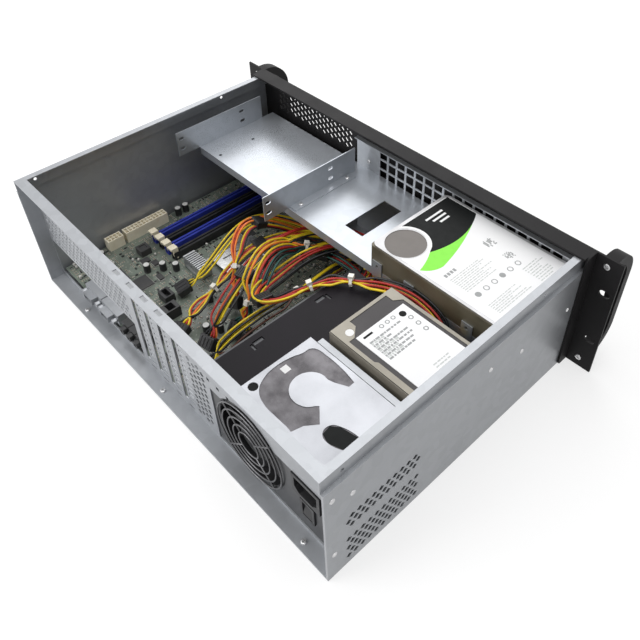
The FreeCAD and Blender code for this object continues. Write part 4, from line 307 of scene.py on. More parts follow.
def board_finish():
    """Solder mask over traces, with tinned vias and pads."""
    shade = bpy.context.scene.case_finish.lacquer
    bare_share, via_size = 0.35, 0.16
    material, tree, group = start_material("board", shade, [c * 1.7 for c in shade], 0.02, 0.0008,
                                           (0.28, 0.45))
    place = add_node(tree, "ShaderNodeTexCoord").outputs["Object"]
    zones = add_node(tree, "ShaderNodeTexVoronoi", {"Vector": place, "Scale": 42.0}, distance="CHEBYCHEV")
    zone = add_node(tree, "ShaderNodeSeparateColor", {"Color": zones.outputs["Color"]})
    along, across = (add_node(tree, "ShaderNodeTexWave",
                              {"Vector": place, "Scale": 260.0, "Distortion": 0.6}, bands_direction=axis)
                     for axis in "XY")
    turn = add_node(tree, "ShaderNodeMath", {0: zone.outputs["Red"], 1: 0.5}, operation="GREATER_THAN")
    traces = add_node(tree, "ShaderNodeMix", {0: turn.outputs[0], MIX_LOW: along.outputs["Fac"],
                                              MIX_HIGH: across.outputs["Fac"]})
    busy = add_node(tree, "ShaderNodeMath", {0: zone.outputs["Green"], 1: bare_share},
                    operation="GREATER_THAN")
    lines = add_node(tree, "ShaderNodeMath", {0: traces.outputs[0], 1: busy.outputs[0]}, operation="MULTIPLY")
    lines = add_node(tree, "ShaderNodeMapRange",
                     {"Value": lines.outputs[0], "From Min": 0.45, "From Max": 0.7, "To Max": 0.7})
    copper = mix(tree, lines.outputs[0], group.outputs["Colour"], rgba([c * 2.6 + 0.01 for c in shade]))
    holes = add_node(tree, "ShaderNodeTexVoronoi", {"Vector": place, "Scale": 330.0, "Randomness": 0.8})
    via = add_node(tree, "ShaderNodeMath", {0: holes.outputs["Distance"], 1: via_size}, operation="LESS_THAN")
    tinned = mix(tree, via.outputs[0], copper, (0.48, 0.47, 0.42, 1))
    end_material(tree, group, colour_socket=tinned, height_socket=lines.outputs[0], depth=0.00004,
                 coat_weight=0.15)
    return material


def level_mask(tree, height):
    """1 below a height, 0 over it."""
    place = add_node(tree, "ShaderNodeTexCoord").outputs["Object"]
    axes = add_node(tree, "ShaderNodeSeparateXYZ", {"Vector": place})
    below = add_node(tree, "ShaderNodeMath", {0: axes.outputs["Z"], 1: height}, operation="LESS_THAN")
    return below.outputs[0]


def recessed_finish(name, top, field, mottle, patch, metallic):
    """Plate whose sunken field is of another, blotchy colour."""
    drop = bpy.context.scene.case_detail.recess
    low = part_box(name)[1].z - drop
    material, tree, group = start_material(name, top, [c * 0.9 for c in top], 0.03, 0.0006, (0.35, 0.6))
    inner = place_group(tree, field, mottle, patch, 0.0004, (0.5, 0.8))
    mask = level_mask(tree, low)
    shade = mix(tree, mask, group.outputs["Colour"], inner.outputs["Colour"])
    rough_mix = add_node(tree, "ShaderNodeMix", {0: mask, MIX_LOW: group.outputs["Roughness"],
                                                 MIX_HIGH: inner.outputs["Roughness"]})
    shader = end_material(tree, group, colour_socket=shade, rough_socket=rough_mix.outputs[0],
                          depth=0.00002)
    raised = add_node(tree, "ShaderNodeMapRange", {"Value": mask, "To Min": metallic, "To Max": 0.1})
    tree.links.new(raised.outputs[0], shader.inputs["Metallic"])
    return material


def attribute_finish(name, rough=(0.32, 0.48), depth=0.00002, dirt=0.72, **constants):
    """Finish whose colour comes from the mesh's own attribute, a little dirtied."""
    material, tree, group = start_material(name, (1, 1, 1), (dirt, dirt, dirt), 0.006, 0.0007, rough)
    own = add_node(tree, "ShaderNodeAttribute", attribute_name="shade").outputs["Color"]
    dirtied = mix(tree, 1.0, own, group.outputs["Colour"], "MULTIPLY")
    end_material(tree, group, colour_socket=dirtied, depth=depth, **constants)
    return material


# Each plain finish: its material's name, shade and mottle, the sizes of its patches and its grain, its least
# and most roughness, the depth of the grain and constants of the shader.
PLAIN_FINISHES = {
    # Near-black sheet of the small drive bracket under the drives.
    "bracket": ("bracket_coat", (0.006, 0.005, 0.007), (0.016, 0.014, 0.017), 0.04, 0.0006, (0.40, 0.6),
                0.00003, {"specular_ior_level": 0.12}),
    "cast": ("cast_alloy", (0.56, 0.57, 0.58), (0.46, 0.47, 0.48), 0.02, 0.0005, (0.32, 0.5), 0.00002,
             {"metallic": 0.7}),
    "drive_side": ("drive_side", (0.10, 0.09, 0.06), (0.16, 0.14, 0.10), 0.03, 0.0007, (0.35, 0.55),
                   0.00003, {"metallic": 0.35}),
    "pale_frame": ("pale_frame", (0.40, 0.37, 0.31), (0.30, 0.27, 0.22), 0.02, 0.0006, (0.35, 0.5),
                   0.00003, {"metallic": 0.4}),
    "supply": ("supply_coat", (0.055, 0.056, 0.060), (0.08, 0.082, 0.086), 0.05, 0.0007, (0.35, 0.5),
               0.00002, {"metallic": 0.55}),
    "guard": ("guard_wire", (0.15, 0.15, 0.155), (0.10, 0.10, 0.105), 0.01, 0.0006, (0.3, 0.45), 0.00002,
              {"metallic": 0.7}),
    "paper": ("label_paper", (0.84, 0.84, 0.845), (0.80, 0.80, 0.81), 0.05, 0.0008, (0.45, 0.6), 0.00001,
              {"specular_ior_level": 0.3}),
    "black": ("black_plastic", (0.012, 0.012, 0.013), (0.022, 0.022, 0.024), 0.01, 0.0005, (0.35, 0.55),
              0.00003, {}),
    "cream": ("cream_nylon", (0.90, 0.84, 0.68), (0.80, 0.72, 0.54), 0.01, 0.0005, (0.38, 0.52), 0.00003,
              {}),
    "blue": ("blue_nylon", (0.022, 0.035, 0.30), (0.03, 0.05, 0.40), 0.01, 0.0005, (0.35, 0.5), 0.00003,
             {}),
    "white": ("white_nylon", (0.80, 0.78, 0.72), (0.68, 0.66, 0.60), 0.004, 0.0004, (0.35, 0.5), 0.00002,
              {}),
    "chip": ("chip_resin", (0.028, 0.028, 0.030), (0.045, 0.044, 0.043), 0.01, 0.0004, (0.5, 0.65),
             0.00003, {}),
    "bright": ("bright_steel", (0.66, 0.66, 0.66), (0.52, 0.52, 0.53), 0.004, 0.0004, (0.22, 0.38),
               0.00002, {"metallic": 0.9}),
}
# Each drive's top: its shade, the shade and mottle of its sunken field, the size of the field's patches, and
# how metallic the top is.
DRIVE_COVERS = {
    "hard_drive_cover": ((0.52, 0.52, 0.53), (0.125, 0.115, 0.105), (0.19, 0.175, 0.165), 0.02, 0.5),
    "bare_drive_cover": ((0.46, 0.47, 0.50), (0.047, 0.042, 0.048), (0.27, 0.26, 0.275), 0.014, 0.5),
    "dark_drive_cover": ((0.27, 0.25, 0.21), (0.040, 0.037, 0.038), (0.060, 0.056, 0.058), 0.03, 0.4),
}


def make_finishes():
    """Every material by the name of its finish."""
    look = bpy.context.scene.case_finish
    front = look.front
    finishes = {
        "steel": steel_finish("galvanised_steel", look.steel, 0.5, (0.32, 0.42)),
        # Lighter copy of the steel: painted light on the tray deck and painted reflection of it in the
        # divider and flanges.
        "tray": steel_finish("tray_steel", look.tray, 0.62, (0.26, 0.36)),
        "front": plain_finish("front_coat", front, [c * 1.5 for c in front], 0.02, 0.0005, (0.5, 0.62),
                              0.00004, specular_ior_level=0.16),
        "board": board_finish(),
        "wire": attribute_finish("wire_insulation", (0.34, 0.46), coat_weight=0.08, specular_ior_level=0.35),
        "tinted": attribute_finish("tinted_parts", (0.35, 0.5)),
        "print": attribute_finish("printed_ink", (0.5, 0.6), 0.000005, 0.94, specular_ior_level=0.1),
    }
    for finish, (*values, constants) in PLAIN_FINISHES.items():
        finishes[finish] = plain_finish(*values, **constants)
    for name, values in DRIVE_COVERS.items():
        finishes[name] = recessed_finish(name, *values)
    return finishes


NODE_FINISHES = (
    ("chassis_body", "steel"), ("rear_panel", "steel"), ("front_panel", "front"), ("handle_", "front"),
    ("front_grille_plate", "steel"), ("drive_tray", "tray"), ("bay_divider", "tray"),
    ("small_drive_bracket", "bracket"), ("small_drive_angle", "steel"), ("slot_cover", "steel"),
    ("hard_drive_base", "drive_side"), ("hard_drive_cover", "hard_drive_cover"),
    ("hard_drive_label", "paper"), ("bare_drive_base", "cast"), ("bare_drive_cover", "bare_drive_cover"),
    ("dark_drive_base", "pale_frame"),
    ("dark_drive_cover", "dark_drive_cover"), ("dark_drive_label", "paper"), ("psu_base", "supply"),
    ("psu_cover", "supply"), ("psu_fan_guard", "guard"), ("psu_", "black"), ("motherboard", "board"),
    ("standoffs", "bright"), ("power_sockets", "cream"), ("chipset_heatsink", "cast"),
    ("cpu_socket_frame", "bright"), ("chips", "chip"), ("capacitors", "chip"), ("board_headers", "black"),
    ("d_sub_ports", "steel"), ("audio_jacks", "black"), ("case_rivets", "bright"), ("case_screws", "bright"),
    ("cable_plugs", "black"), ("cable_ties", "white"), ("loom_", "wire"), ("dimm_latch", "cream"),
    ("dimm_socket_1", "blue"), ("dimm_socket_3", "blue"), ("dimm_socket", "black"),
)
FINISH = {}


# ---------------------------------------------------------------- mesh building
def add_piece(name, mesh, body="case", replaced=()):
    """Finished mesh as a piece of the object that moves with a body."""
    piece = bpy.data.objects.new(name, mesh)
    bpy.context.scene.collection.objects.link(piece)
    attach(piece, body)
    if replaced:
        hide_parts(*replaced)
    return piece


def mesh_from(name, parts, material):
    """Mesh of coloured parts: each is its points, its faces and its colour."""
    points, faces, shades = [], [], []
    for part_points, part_faces, shade in parts:
        first = len(points)
        points += [tuple(p) for p in part_points]
        faces += [tuple(first + i for i in face) for face in part_faces]
        shades += [rgba(shade)] * len(part_points)
    mesh = bpy.data.meshes.new(name)
    mesh.from_pydata(points, [], faces)
    own = mesh.color_attributes.new("shade", "FLOAT_COLOR", "POINT")
    own.data.foreach_set("color", [value for shade in shades for value in shade])
    mesh.materials.append(material)
    mesh.validate()
    mesh.update()
    return mesh


def part_of(work, shade):
    """All of a mesh in the making as one coloured part; it is freed."""
    work.verts.index_update()
    part = ([v.co.copy() for v in work.verts], [[v.index for v in f.verts] for f in work.faces], shade)
    work.free()
    return part


def closed_mesh(work, name):
    """Mesh of a closed shape in the making, with its faces turned outwards; it is freed."""
    bmesh.ops.recalc_face_normals(work, faces=work.faces[:])
    mesh = bpy.data.meshes.new(name)
    work.to_mesh(mesh)
    work.free()
    return mesh


def bevelled_box(low, high, bevel, shade, place=None):
    """Box with bevelled edges as one coloured part."""
    work = bmesh.new()
    bmesh.ops.create_cube(work, size=1.0)
    low, high = Vector(low), Vector(high)
    size, middle = high - low, (high + low) / 2
    for vertex in work.verts:
        vertex.co = Vector(vertex.co[i] * size[i] + middle[i] for i in range(3))
    if bevel:
        bmesh.ops.bevel(work, geom=work.edges[:], offset=bevel, segments=1, profile=0.5, affect="EDGES")
    if place is not None:
        work.transform(place)
    return part_of(work, shade)


def solid_boxes(node):
    """Lowest and highest corner of each separate solid of a CAD node."""
    work = bmesh.new()
    work.from_mesh(NODES[node].data)
    bmesh.ops.remove_doubles(work, verts=work.verts[:], dist=1e-6)
    left = set(work.verts)
    boxes = []
    while left:
        reached = [left.pop()]
        solid = []
        while reached:
            vertex = reached.pop()
            solid.append(vertex.co.copy())
            for edge in vertex.link_edges:
                other = edge.other_vert(vertex)
                if other in left:
                    left.remove(other)
                    reached.append(other)
        boxes.append((Vector(min(p[i] for p in solid) for i in range(3)),
                      Vector(max(p[i] for p in solid) for i in range(3))))
    work.free()
    return sorted(boxes, key=lambda b: tuple(round(value, 5) for value in b[0]))


# ---------------------------------------------------------------- wiring
def route_line(points):
    """Points read from the smooth line of a route."""
    curve = bpy.data.curves.new("route", "CURVE")
    curve.dimensions = "3D"
    curve.resolution_u = 16
    spline = curve.splines.new("NURBS")
    spline.points.add(len(points) - 1)
    for point, place in zip(spline.points, points):
        point.co = (*place, 1.0)
    spline.order_u = 3
    spline.use_endpoint_u = True
    holder = bpy.data.objects.new("route", curve)
    bpy.context.scene.collection.objects.link(holder)
    seen = holder.evaluated_get(bpy.context.evaluated_depsgraph_get())
    mesh = bpy.data.meshes.new_from_object(seen)
    line = [v.co.copy() for v in mesh.vertices]
    bpy.data.objects.remove(holder)
    bpy.data.curves.remove(curve)
    bpy.data.meshes.remove(mesh)
    return line


def even_steps(line, step):
    """The same line with points a step apart, and each point's distance from the start."""
    travelled = [0.0]
    for a, b in zip(line, line[1:]):
        travelled.append(travelled[-1] + (b - a).length)
    count = max(2, round(travelled[-1] / step))
    points, distances, at = [], [], 0
    for k in range(count + 1):
        wanted = travelled[-1] * k / count
        while at < len(line) - 2 and travelled[at + 1] < wanted:
            at += 1
        span = travelled[at + 1] - travelled[at]
        points.append(line[at].lerp(line[at + 1], (wanted - travelled[at]) / span if span else 0.0))
        distances.append(wanted)
    return points, distances


def carried_frames(points):
    """Direction, sideways and upward vectors along a line, turned as little as it allows."""
    frames = []
    side = Vector((1, 0, 0))
    for k in range(len(points)):
        ahead = points[min(k + 1, len(points) - 1)] - points[max(k - 1, 0)]
        ahead.normalize()
        level = ahead.cross(UP)
        if level.dot(side) < 0:
            level.negate()
        side = side.lerp(level.normalized(), 0.08 * level.length) if level.length > 0.05 else side
        side = (side - ahead * side.dot(ahead)).normalized()
        frames.append((ahead, side, side.cross(ahead)))
    return frames


def smooth(value):
    value = max(0.0, min(1.0, value))
    return value * value * (3 - 2 * value)


def tight_places(count, radius):
    """Places of wires packed in a round bundle, from left to right."""
    turn = math.pi * (3 - math.sqrt(5))
    reach = LOOM_RADIUS - radius
    places = []
    for k in range(count):
        out = reach * math.sqrt(k / max(1, count - 1))
        places.append((out * math.cos(turn * k), out * math.sin(turn * k)))
    return sorted(places)


def tube(line, radius, sides, shade):
    """Closed round tube along a line, as one coloured part."""
    points, faces = [], []
    frames = carried_frames(line)
    for place, (_, side, up) in zip(line, frames):
        for k in range(sides):
            angle = math.tau * k / sides
            points.append(place + side * (radius * math.cos(angle)) + up * (radius * math.sin(angle)))
    for ring in range(len(line) - 1):
        for k in range(sides):
            a, b = ring * sides + k, ring * sides + (k + 1) % sides
            faces.append((a, a + sides, b + sides, b))
    faces.append(tuple(range(sides)))
    faces.append(tuple(reversed(range((len(line) - 1) * sides, len(line) * sides))))
    return points, faces, shade


def plug_frame(name):
    """Matrix of a loom's plug: its width, its height and its direction."""
    points = LOOM_ROUTES[name]
    end = Vector(points[-1])
    direction = (end - Vector(points[-2])).normalized()
    across = (Vector((1, 0, 0)) - direction * direction.x).normalized()
    up = direction.cross(across)
    turned = Matrix((across, up, direction)).transposed().to_4x4()
    return Matrix.Translation(end) @ turned


def wire_lines(name, line, distances, settings):
    """Line of each wire of a loom: gathered at its ends and ties, open between them."""
    seeded = random.Random(name)
    colours = LOOM_COLOURS[name]
    count = len(colours)
    total = distances[-1]
    points = [Vector(p) for p in LOOM_ROUTES[name]]
    grips = [0.0, total]
    for run in LOOM_TIES.get(name, ()):
        middle = (points[run] + points[run + 1]) / 2
        nearest = min(range(len(line)), key=lambda k: (line[k] - middle).length)
        grips.append(distances[nearest])
    tight = tight_places(count, settings.wire_radius)
    frames = carried_frames(line)
    place = plug_frame(name)
    width, height, _ = PLUG_SIZES[name]
    rows = 2 if count > ONE_ROW_COUNT and height > ONE_ROW_HEIGHT else 1
    wires = []
    for k in range(count):
        sway = [(seeded.uniform(0.035, 0.09), seeded.uniform(0, math.tau), seeded.uniform(0.5, 1.0))
                for _ in range(3)]
        lift = seeded.uniform(-0.6, 0.6)
        column = (k // rows + 0.5) / math.ceil(count / rows) - 0.5
        row = (k % rows + 0.5) / rows - 0.5
        target = place @ Vector((column * (width - ROW_INSET[0]), row * (height - ROW_INSET[1]), 0.0))
        wire = []
        for centre, distance, (_, side, up) in zip(line, distances, frames):
            openness = min(smooth((abs(distance - grip) - TIE_HALF) / settings.reach) for grip in grips)
            wander = sum(size * math.sin(distance / pitch + phase) for pitch, phase, size in sway)
            loose_side = (k - (count - 1) / 2) * settings.spread + wander * WANDER_SIDE
            rise = OPEN_RISE if k % 2 else -OPEN_RISE
            loose_up = rise * settings.spread + (wander + lift) * WANDER_UP
            x = tight[k][0] * (1 - openness) + loose_side * openness
            y = tight[k][1] * (1 - openness) + loose_up * openness
            spot = centre + side * x + up * y
            gather = smooth(1 - (total - distance) / PLUG_GATHER)
            goal = target + place.to_3x3() @ Vector((0, 0, distance - total))
            wire.append(spot.lerp(goal, gather))
        wires.append((wire, WIRE_COLOURS[colours[k]]))
    return wires


def plug_piece(name):
    """Housing on a loom's end with its ribs, latch and wire seats."""
    latch_half, latch_rise, latch_inset = 0.0022, 0.0016, 0.002
    rib_half, rib_sunk, rib_rise, rib_inset, rib_pitch = 0.0011, 0.0002, 0.0005, 0.0015, 0.0042
    seat_half, seat_inset, seat_rise = 0.0013, 0.0012, 0.0006
    width, height, reach = PLUG_SIZES[name]
    place = plug_frame(name)
    half, tall = width / 2, height / 2
    parts = [bevelled_box((-half, -tall, 0), (half, tall, reach), 0.0006, HOUSING_BLACK, place),
             bevelled_box((-latch_half, tall, latch_inset),
                          (latch_half, tall + latch_rise, reach - latch_inset), 0.0004, HOUSING_BLACK, place)]
    count = max(2, round(width / rib_pitch))
    for k in range(count):
        x = ((k + 0.5) / count - 0.5) * (width - 0.0012)
        for sign in (-1, 1):
            near, far = sorted((sign * (tall - rib_sunk), sign * (tall + rib_rise)))
            if sign > 0 and abs(x) < latch_half + 0.001:
                continue
            parts.append(bevelled_box((x - rib_half, near, rib_inset), (x + rib_half, far, reach - rib_inset),
                                      0.0002, HOUSING_BLACK, place))
        parts.append(bevelled_box((x - seat_half, -tall + seat_inset, -seat_rise),
                                  (x + seat_half, tall - seat_inset, 0.0), 0.0002, SEAT_GREY, place))
    title = name.replace("loom", "plug")
    return add_piece(title, mesh_from(title, parts, FINISH["tinted"]),
                     replaced=("cable_plugs",))


def housing_piece(name, run):
    """Black housing that joins the wires of a loom along one run of its route."""
    start, end = (Vector(p) for p in LOOM_ROUTES[name][run:run + 2])
    ahead = (end - start).normalized()
    across = ahead.cross(UP).normalized()
    place = Matrix((across, across.cross(ahead), ahead)).transposed().to_4x4()
    place = Matrix.Translation((start + end) / 2) @ place
    count, wall, tall, long = len(LOOM_COLOURS[name]), 0.001, 0.0036, 0.0065
    width = count * 0.0021 + 2 * wall
    half = width / 2
    parts = [bevelled_box((-half, -tall, -long), (half, tall, long), 0.0006, HOUSING_BLACK, place)]
    rib_half, rib_long = 0.0007, 0.005
    for k in range(count):
        x = ((k + 0.5) / count - 0.5) * (width - wall)
        parts.append(bevelled_box((x - rib_half, tall - 0.0002, -rib_long),
                                  (x + rib_half, tall + 0.0006, rib_long), 0.0002, HOUSING_BLACK, place))
    title = f"{name.replace('loom', 'housing')}_{run}"
    return add_piece(title, mesh_from(title, parts, FINISH["tinted"]))


class OBJECT_OT_case_wiring(bpy.types.Operator):
    """Wind each cable loom out of its separate wires, with the plug on its end"""
    bl_idname = "object.case_wiring"
    bl_label = "Wiring"

    def execute(self, context):
        settings = context.scene.case_wiring
        for name, route in LOOM_ROUTES.items():
            line, distances = even_steps(route_line(route), settings.step)
            parts = [tube(wire, settings.wire_radius, WIRE_SIDES, shade)
                     for wire, shade in wire_lines(name, line, distances, settings)]
            mesh = mesh_from(name.replace("loom", "wires"), parts, FINISH["wire"])
            mesh.shade_smooth()
            piece = add_piece(name.replace("loom", "wires"), mesh, replaced=(name,))
            housings = [housing_piece(name, run) for run in LOOM_HOUSINGS.get(name, ())]
            [plug_piece(name)] + housings
        return {"FINISHED"}


# ---------------------------------------------------------------- fasteners and the fan guard
def turned_profile(rings, sides):
    """Closed turned shape from pairs of radius and height, from its base to its top."""
    work = bmesh.new()
    turns = [math.tau * k / sides for k in range(sides)]
    loops = [[work.verts.new((radius * math.cos(turn), radius * math.sin(turn), height)) for turn in turns]
             for radius, height in rings]
    for low, high in zip(loops, loops[1:]):
        for k in range(sides):
            work.faces.new((low[k], low[(k + 1) % sides], high[(k + 1) % sides], high[k]))
    work.faces.new(list(reversed(loops[0])))
    return work, loops[-1]


def turned_part(rings, sides, shade):
    """Closed turned shape as one coloured part."""
    work, rim = turned_profile(rings, sides)
    work.faces.new(rim)
    return part_of(work, shade)


def cross_head_mesh():
    """Pan head of radius 1 with a cross recess, its base on the ground plane."""
    top, arm, reach, deep, taper = 0.52, 0.11, 0.52, 0.30, 0.8
    work, rim = turned_profile(((1.0, 0.0), (1.0, 0.22), (0.9, 0.42), (0.66, top)), 24)
    outline = [(reach, -arm), (reach, arm), (arm, arm), (arm, reach), (-arm, reach), (-arm, arm),
               (-reach, arm), (-reach, -arm), (-arm, -arm), (-arm, -reach), (arm, -reach), (arm, -arm)]
    upper = [work.verts.new((x, y, top)) for x, y in outline]
    lower = [work.verts.new((x * taper, y * taper, top - deep)) for x, y in outline]
    edges = []
    for loop in (rim, upper):
        for k, vertex in enumerate(loop):
            following = loop[(k + 1) % len(loop)]
            edges.append(work.edges.get((vertex, following)) or work.edges.new((vertex, following)))
    bmesh.ops.triangle_fill(work, use_beauty=True, use_dissolve=False, edges=edges)
    for k in range(len(outline)):
        after = (k + 1) % len(outline)
        work.faces.new((upper[k], lower[k], lower[after], upper[after]))
    work.faces.new(lower)
    return closed_mesh(work, "cross_head")


def dome_mesh():
    """Low rivet dome of radius 1."""
    rings = [(math.cos(a), 0.42 * math.sin(a)) for a in (0.0, 0.35, 0.7, 1.05, 1.35)]
    work, rim = turned_profile(rings, 20)
    work.faces.new(rim)
    return closed_mesh(work, "rivet_dome")


def start_repeat(name, inputs):
    """Geometry tree with its named inputs; gives the tree and the sockets that it is given."""
    tree = bpy.data.node_groups.new(name, "GeometryNodeTree")
    for socket, kind in (("Geometry", "Geometry"), ("Shape", "Object"), *inputs, ("Finish", "Material")):
        tree.interface.new_socket(socket, in_out="INPUT", socket_type="NodeSocket" + kind)
    tree.interface.new_socket("Geometry", in_out="OUTPUT", socket_type="NodeSocketGeometry")
    return tree, add_node(tree, "NodeGroupInput").outputs


def end_repeat(tree, given, points, rotation, scale):
    """The shape on every point, made real and given its finish."""
    shape = add_node(tree, "GeometryNodeObjectInfo", {"Object": given["Shape"], "As Instance": True})
    placed = add_node(tree, "GeometryNodeInstanceOnPoints",
                      {"Points": points, "Instance": shape.outputs["Geometry"], "Rotation": rotation,
                       "Scale": scale})
    real = add_node(tree, "GeometryNodeRealizeInstances", {"Geometry": placed.outputs[0]})
    coated = add_node(tree, "GeometryNodeSetMaterial",
                      {"Geometry": real.outputs[0], "Material": given["Finish"]})
    add_node(tree, "NodeGroupOutput", {"Geometry": coated.outputs[0]})
    return tree


def fastener_tree():
    """Geometry tree: one shape on every point, turned to the point's facing and sized by it."""
    most_turn = 1.57
    tree, given = start_repeat("fasteners", (("Scale", "Float"), ("Turn Seed", "Int")))
    facing = add_node(tree, "GeometryNodeInputNamedAttribute", {"Name": "facing"}, data_type="FLOAT_VECTOR")
    size = add_node(tree, "GeometryNodeInputNamedAttribute", {"Name": "size"}, data_type="FLOAT")
    aligned = add_node(tree, "FunctionNodeAlignRotationToVector", {"Vector": facing.outputs["Attribute"]},
                       axis="Z")
    turn = add_node(tree, "FunctionNodeRandomValue", {RANDOM_LOW: 0.0, RANDOM_HIGH: most_turn,
                                                      "Seed": given["Turn Seed"]}, data_type="FLOAT")
    spin = add_node(tree, "FunctionNodeAxisAngleToRotation",
                    {"Axis": UP, "Angle": turn.outputs[RANDOM_VALUE]})
    turned = add_node(tree, "FunctionNodeRotateRotation", {"Rotation": aligned.outputs[0],
                                                           "Rotate By": spin.outputs[0]},
                      rotation_space="LOCAL")
    scaled = add_node(tree, "ShaderNodeMath", {0: size.outputs["Attribute"], 1: given["Scale"]},
                      operation="MULTIPLY")
    return end_repeat(tree, given, given["Geometry"], turned.outputs[0], scaled.outputs[0])


def run_tree(name, base, tree, values):
    """Plain mesh made by a geometry tree from a base mesh, with the tree's inputs set by name."""
    holder = bpy.data.objects.new(name + "_base", base)
    bpy.context.scene.collection.objects.link(holder)
    modifier = holder.modifiers.new("nodes", "NODES")
    modifier.node_group = tree
    sockets = {item.name: item.identifier for item in tree.interface.items_tree
               if item.item_type == "SOCKET" and item.in_out == "INPUT"}
    for key, value in values.items():
        modifier[sockets[key]] = value
    seen = holder.evaluated_get(bpy.context.evaluated_depsgraph_get())
    mesh = bpy.data.meshes.new_from_object(seen)
    mesh.name = name
    holder.modifiers.remove(modifier)
    bpy.data.objects.remove(holder)
    if not mesh.polygons:
        raise RuntimeError(name + ": the geometry tree made no faces")
    return mesh


def facing_points(name, boxes):
    """Points on the bases of flat round heads, with the way each faces and its radius."""
    mesh = bpy.data.meshes.new(name + "_points")
    places, facings, sizes = [], [], []
    for low, high in boxes:
        extent = high - low
        axis = min(range(3), key=lambda i: extent[i])
        sign = -1 if axis == 0 and low.x < 0 else 1
        place = (low + high) / 2
        place[axis] = low[axis] if sign > 0 else high[axis]
        facing = Vector((0, 0, 0))
        facing[axis] = sign
        places.append(place)
        facings += list(facing)
        sizes.append(max(extent) / 2)
    mesh.from_pydata([tuple(p) for p in places], [], [])
    mesh.attributes.new("facing", "FLOAT_VECTOR", "POINT").data.foreach_set("vector", facings)
    mesh.attributes.new("size", "FLOAT", "POINT").data.foreach_set("value", sizes)
    return mesh


GUARD_RADII = (0.012, 0.019, 0.026, 0.033, 0.0395)
GUARD_WIRE = 0.0008        # half the width of its wire
GUARD_STEPS = 64           # round a ring
GUARD_SIDES = 8            # of the wire
GUARD_SPOKES = 4
# Bend of a spoke's end: how far short of the outer ring and how far back, as shares of the drop.
GUARD_BEND = ((0.6, 0.0), (0.2, 0.2), (0.0, 0.6), (0.0, 1.0))


def wire_ring(centre, radius, shade):
    """Closed wire ring in an upright plane, as one coloured part."""
    points, faces = [], []
    for k in range(GUARD_STEPS):
        angle = math.tau * k / GUARD_STEPS
        out = Vector((math.cos(angle), 0, math.sin(angle)))
        for m in range(GUARD_SIDES):
            turn = math.tau * m / GUARD_SIDES
            points.append(centre + out * (radius + GUARD_WIRE * math.cos(turn))
                          + Vector((0, GUARD_WIRE * math.sin(turn), 0)))
            here, ahead = k * GUARD_SIDES, (k + 1) % GUARD_STEPS * GUARD_SIDES
            beside = (m + 1) % GUARD_SIDES
            faces.append((here + m, here + beside, ahead + beside, ahead + m))
    return points, faces, shade


def fan_guard_mesh():
    """Round wire rings on four spokes whose ends bend back to the supply."""
    low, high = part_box("psu_fan_guard")
    centre = (low + high) / 2
    centre.y = high.y - GUARD_WIRE
    white = (1, 1, 1)
    parts = [wire_ring(centre, radius, white) for radius in GUARD_RADII]
    first, last = GUARD_RADII[0], GUARD_RADII[-1]
    drop = centre.y - low.y
    for k in range(GUARD_SPOKES):
        angle = math.tau * (k + 0.5) / GUARD_SPOKES
        out = Vector((math.cos(angle), 0, math.sin(angle)))
        line = [centre + out * first]
        line += [centre + out * (last - drop * short) - Vector((0, drop * back, 0))
                 for short, back in GUARD_BEND]
        parts.append(tube(line, GUARD_WIRE, GUARD_SIDES, white))
    mesh = mesh_from("fan_guard_wire", parts, FINISH["guard"])
    work = bmesh.new()
    work.from_mesh(mesh)
    bmesh.ops.recalc_face_normals(work, faces=work.faces)
    for face in work.faces:
        face.smooth = len(face.verts) == 4
    work.to_mesh(mesh)
    work.free()
    return mesh


class OBJECT_OT_case_fan_guard(bpy.types.Operator):
    """Fit the round wire guard over the supply's fan"""
    bl_idname = "object.case_fan_guard"
    bl_label = "Fan Guard"

    def execute(self, context):
        add_piece("fan_guard_wire", fan_guard_mesh(), replaced=("psu_fan_guard",))
        return {"FINISHED"}


class OBJECT_OT_case_fasteners(bpy.types.Operator):
    """Put cross-headed screws and domed rivets on the case"""
    bl_idname = "object.case_fasteners"
    bl_label = "Screws and Rivets"

    def execute(self, context):
        tree = fastener_tree()
        for name, node, shape_mesh in (("screw_heads", "case_screws", cross_head_mesh()),
                                       ("rivet_heads", "case_rivets", dome_mesh())):
            shape = bpy.data.objects.new(name + "_shape", shape_mesh)
            mesh = run_tree(name, facing_points(name, solid_boxes(node)), tree,
                            {"Shape": shape, "Scale": 1.0, "Turn Seed": 3, "Finish": FINISH["bright"]})
            bpy.data.objects.remove(shape)
            add_piece(name, mesh, replaced=(node,))
        return {"FINISHED"}


# ---------------------------------------------------------------- flat shapes and printing
INK = {"black": (0.010, 0.011, 0.011), "green": (0.27, 0.80, 0.10), "grey": (0.34, 0.35, 0.35),
       "pale": (0.56, 0.58, 0.57), "white": (0.80, 0.80, 0.80)}
INK_DEPTH = 0.00004


def ring_points(centre, radius, start, end, count):
    """Points on an arc between two bearings in degrees."""
    angles = [math.radians(start + (end - start) * k / (count - 1)) for k in range(count)]
    return [(centre[0] + radius * math.cos(a), centre[1] + radius * math.sin(a)) for a in angles]


def bowed(start, end, bulge, count=16):
    """Points from one place towards another on a line that bows to its left."""
    run = Vector(end) - Vector(start)
    aside = Vector((-run.y, run.x)).normalized() * bulge
    steps = [k / (count - 1) for k in range(count)]
    return [tuple(Vector(start) + run * t + aside * (4 * t * (1 - t))) for t in steps]


def flat_part(outline, low, high, shade):
    """Plate with a flat outline between two heights, as one coloured part."""
    turned = sum(a[0] * b[1] - b[0] * a[1] for a, b in zip(outline, outline[1:] + outline[:1]))
    outline = outline if turned > 0 else outline[::-1]
    count = len(outline)
    points = [(x, y, low) for x, y in outline] + [(x, y, high) for x, y in outline]
    faces = [tuple(reversed(range(count))), tuple(range(count, 2 * count))]
    faces += [(k, (k + 1) % count, count + (k + 1) % count, count + k) for k in range(count)]
    return points, faces, shade


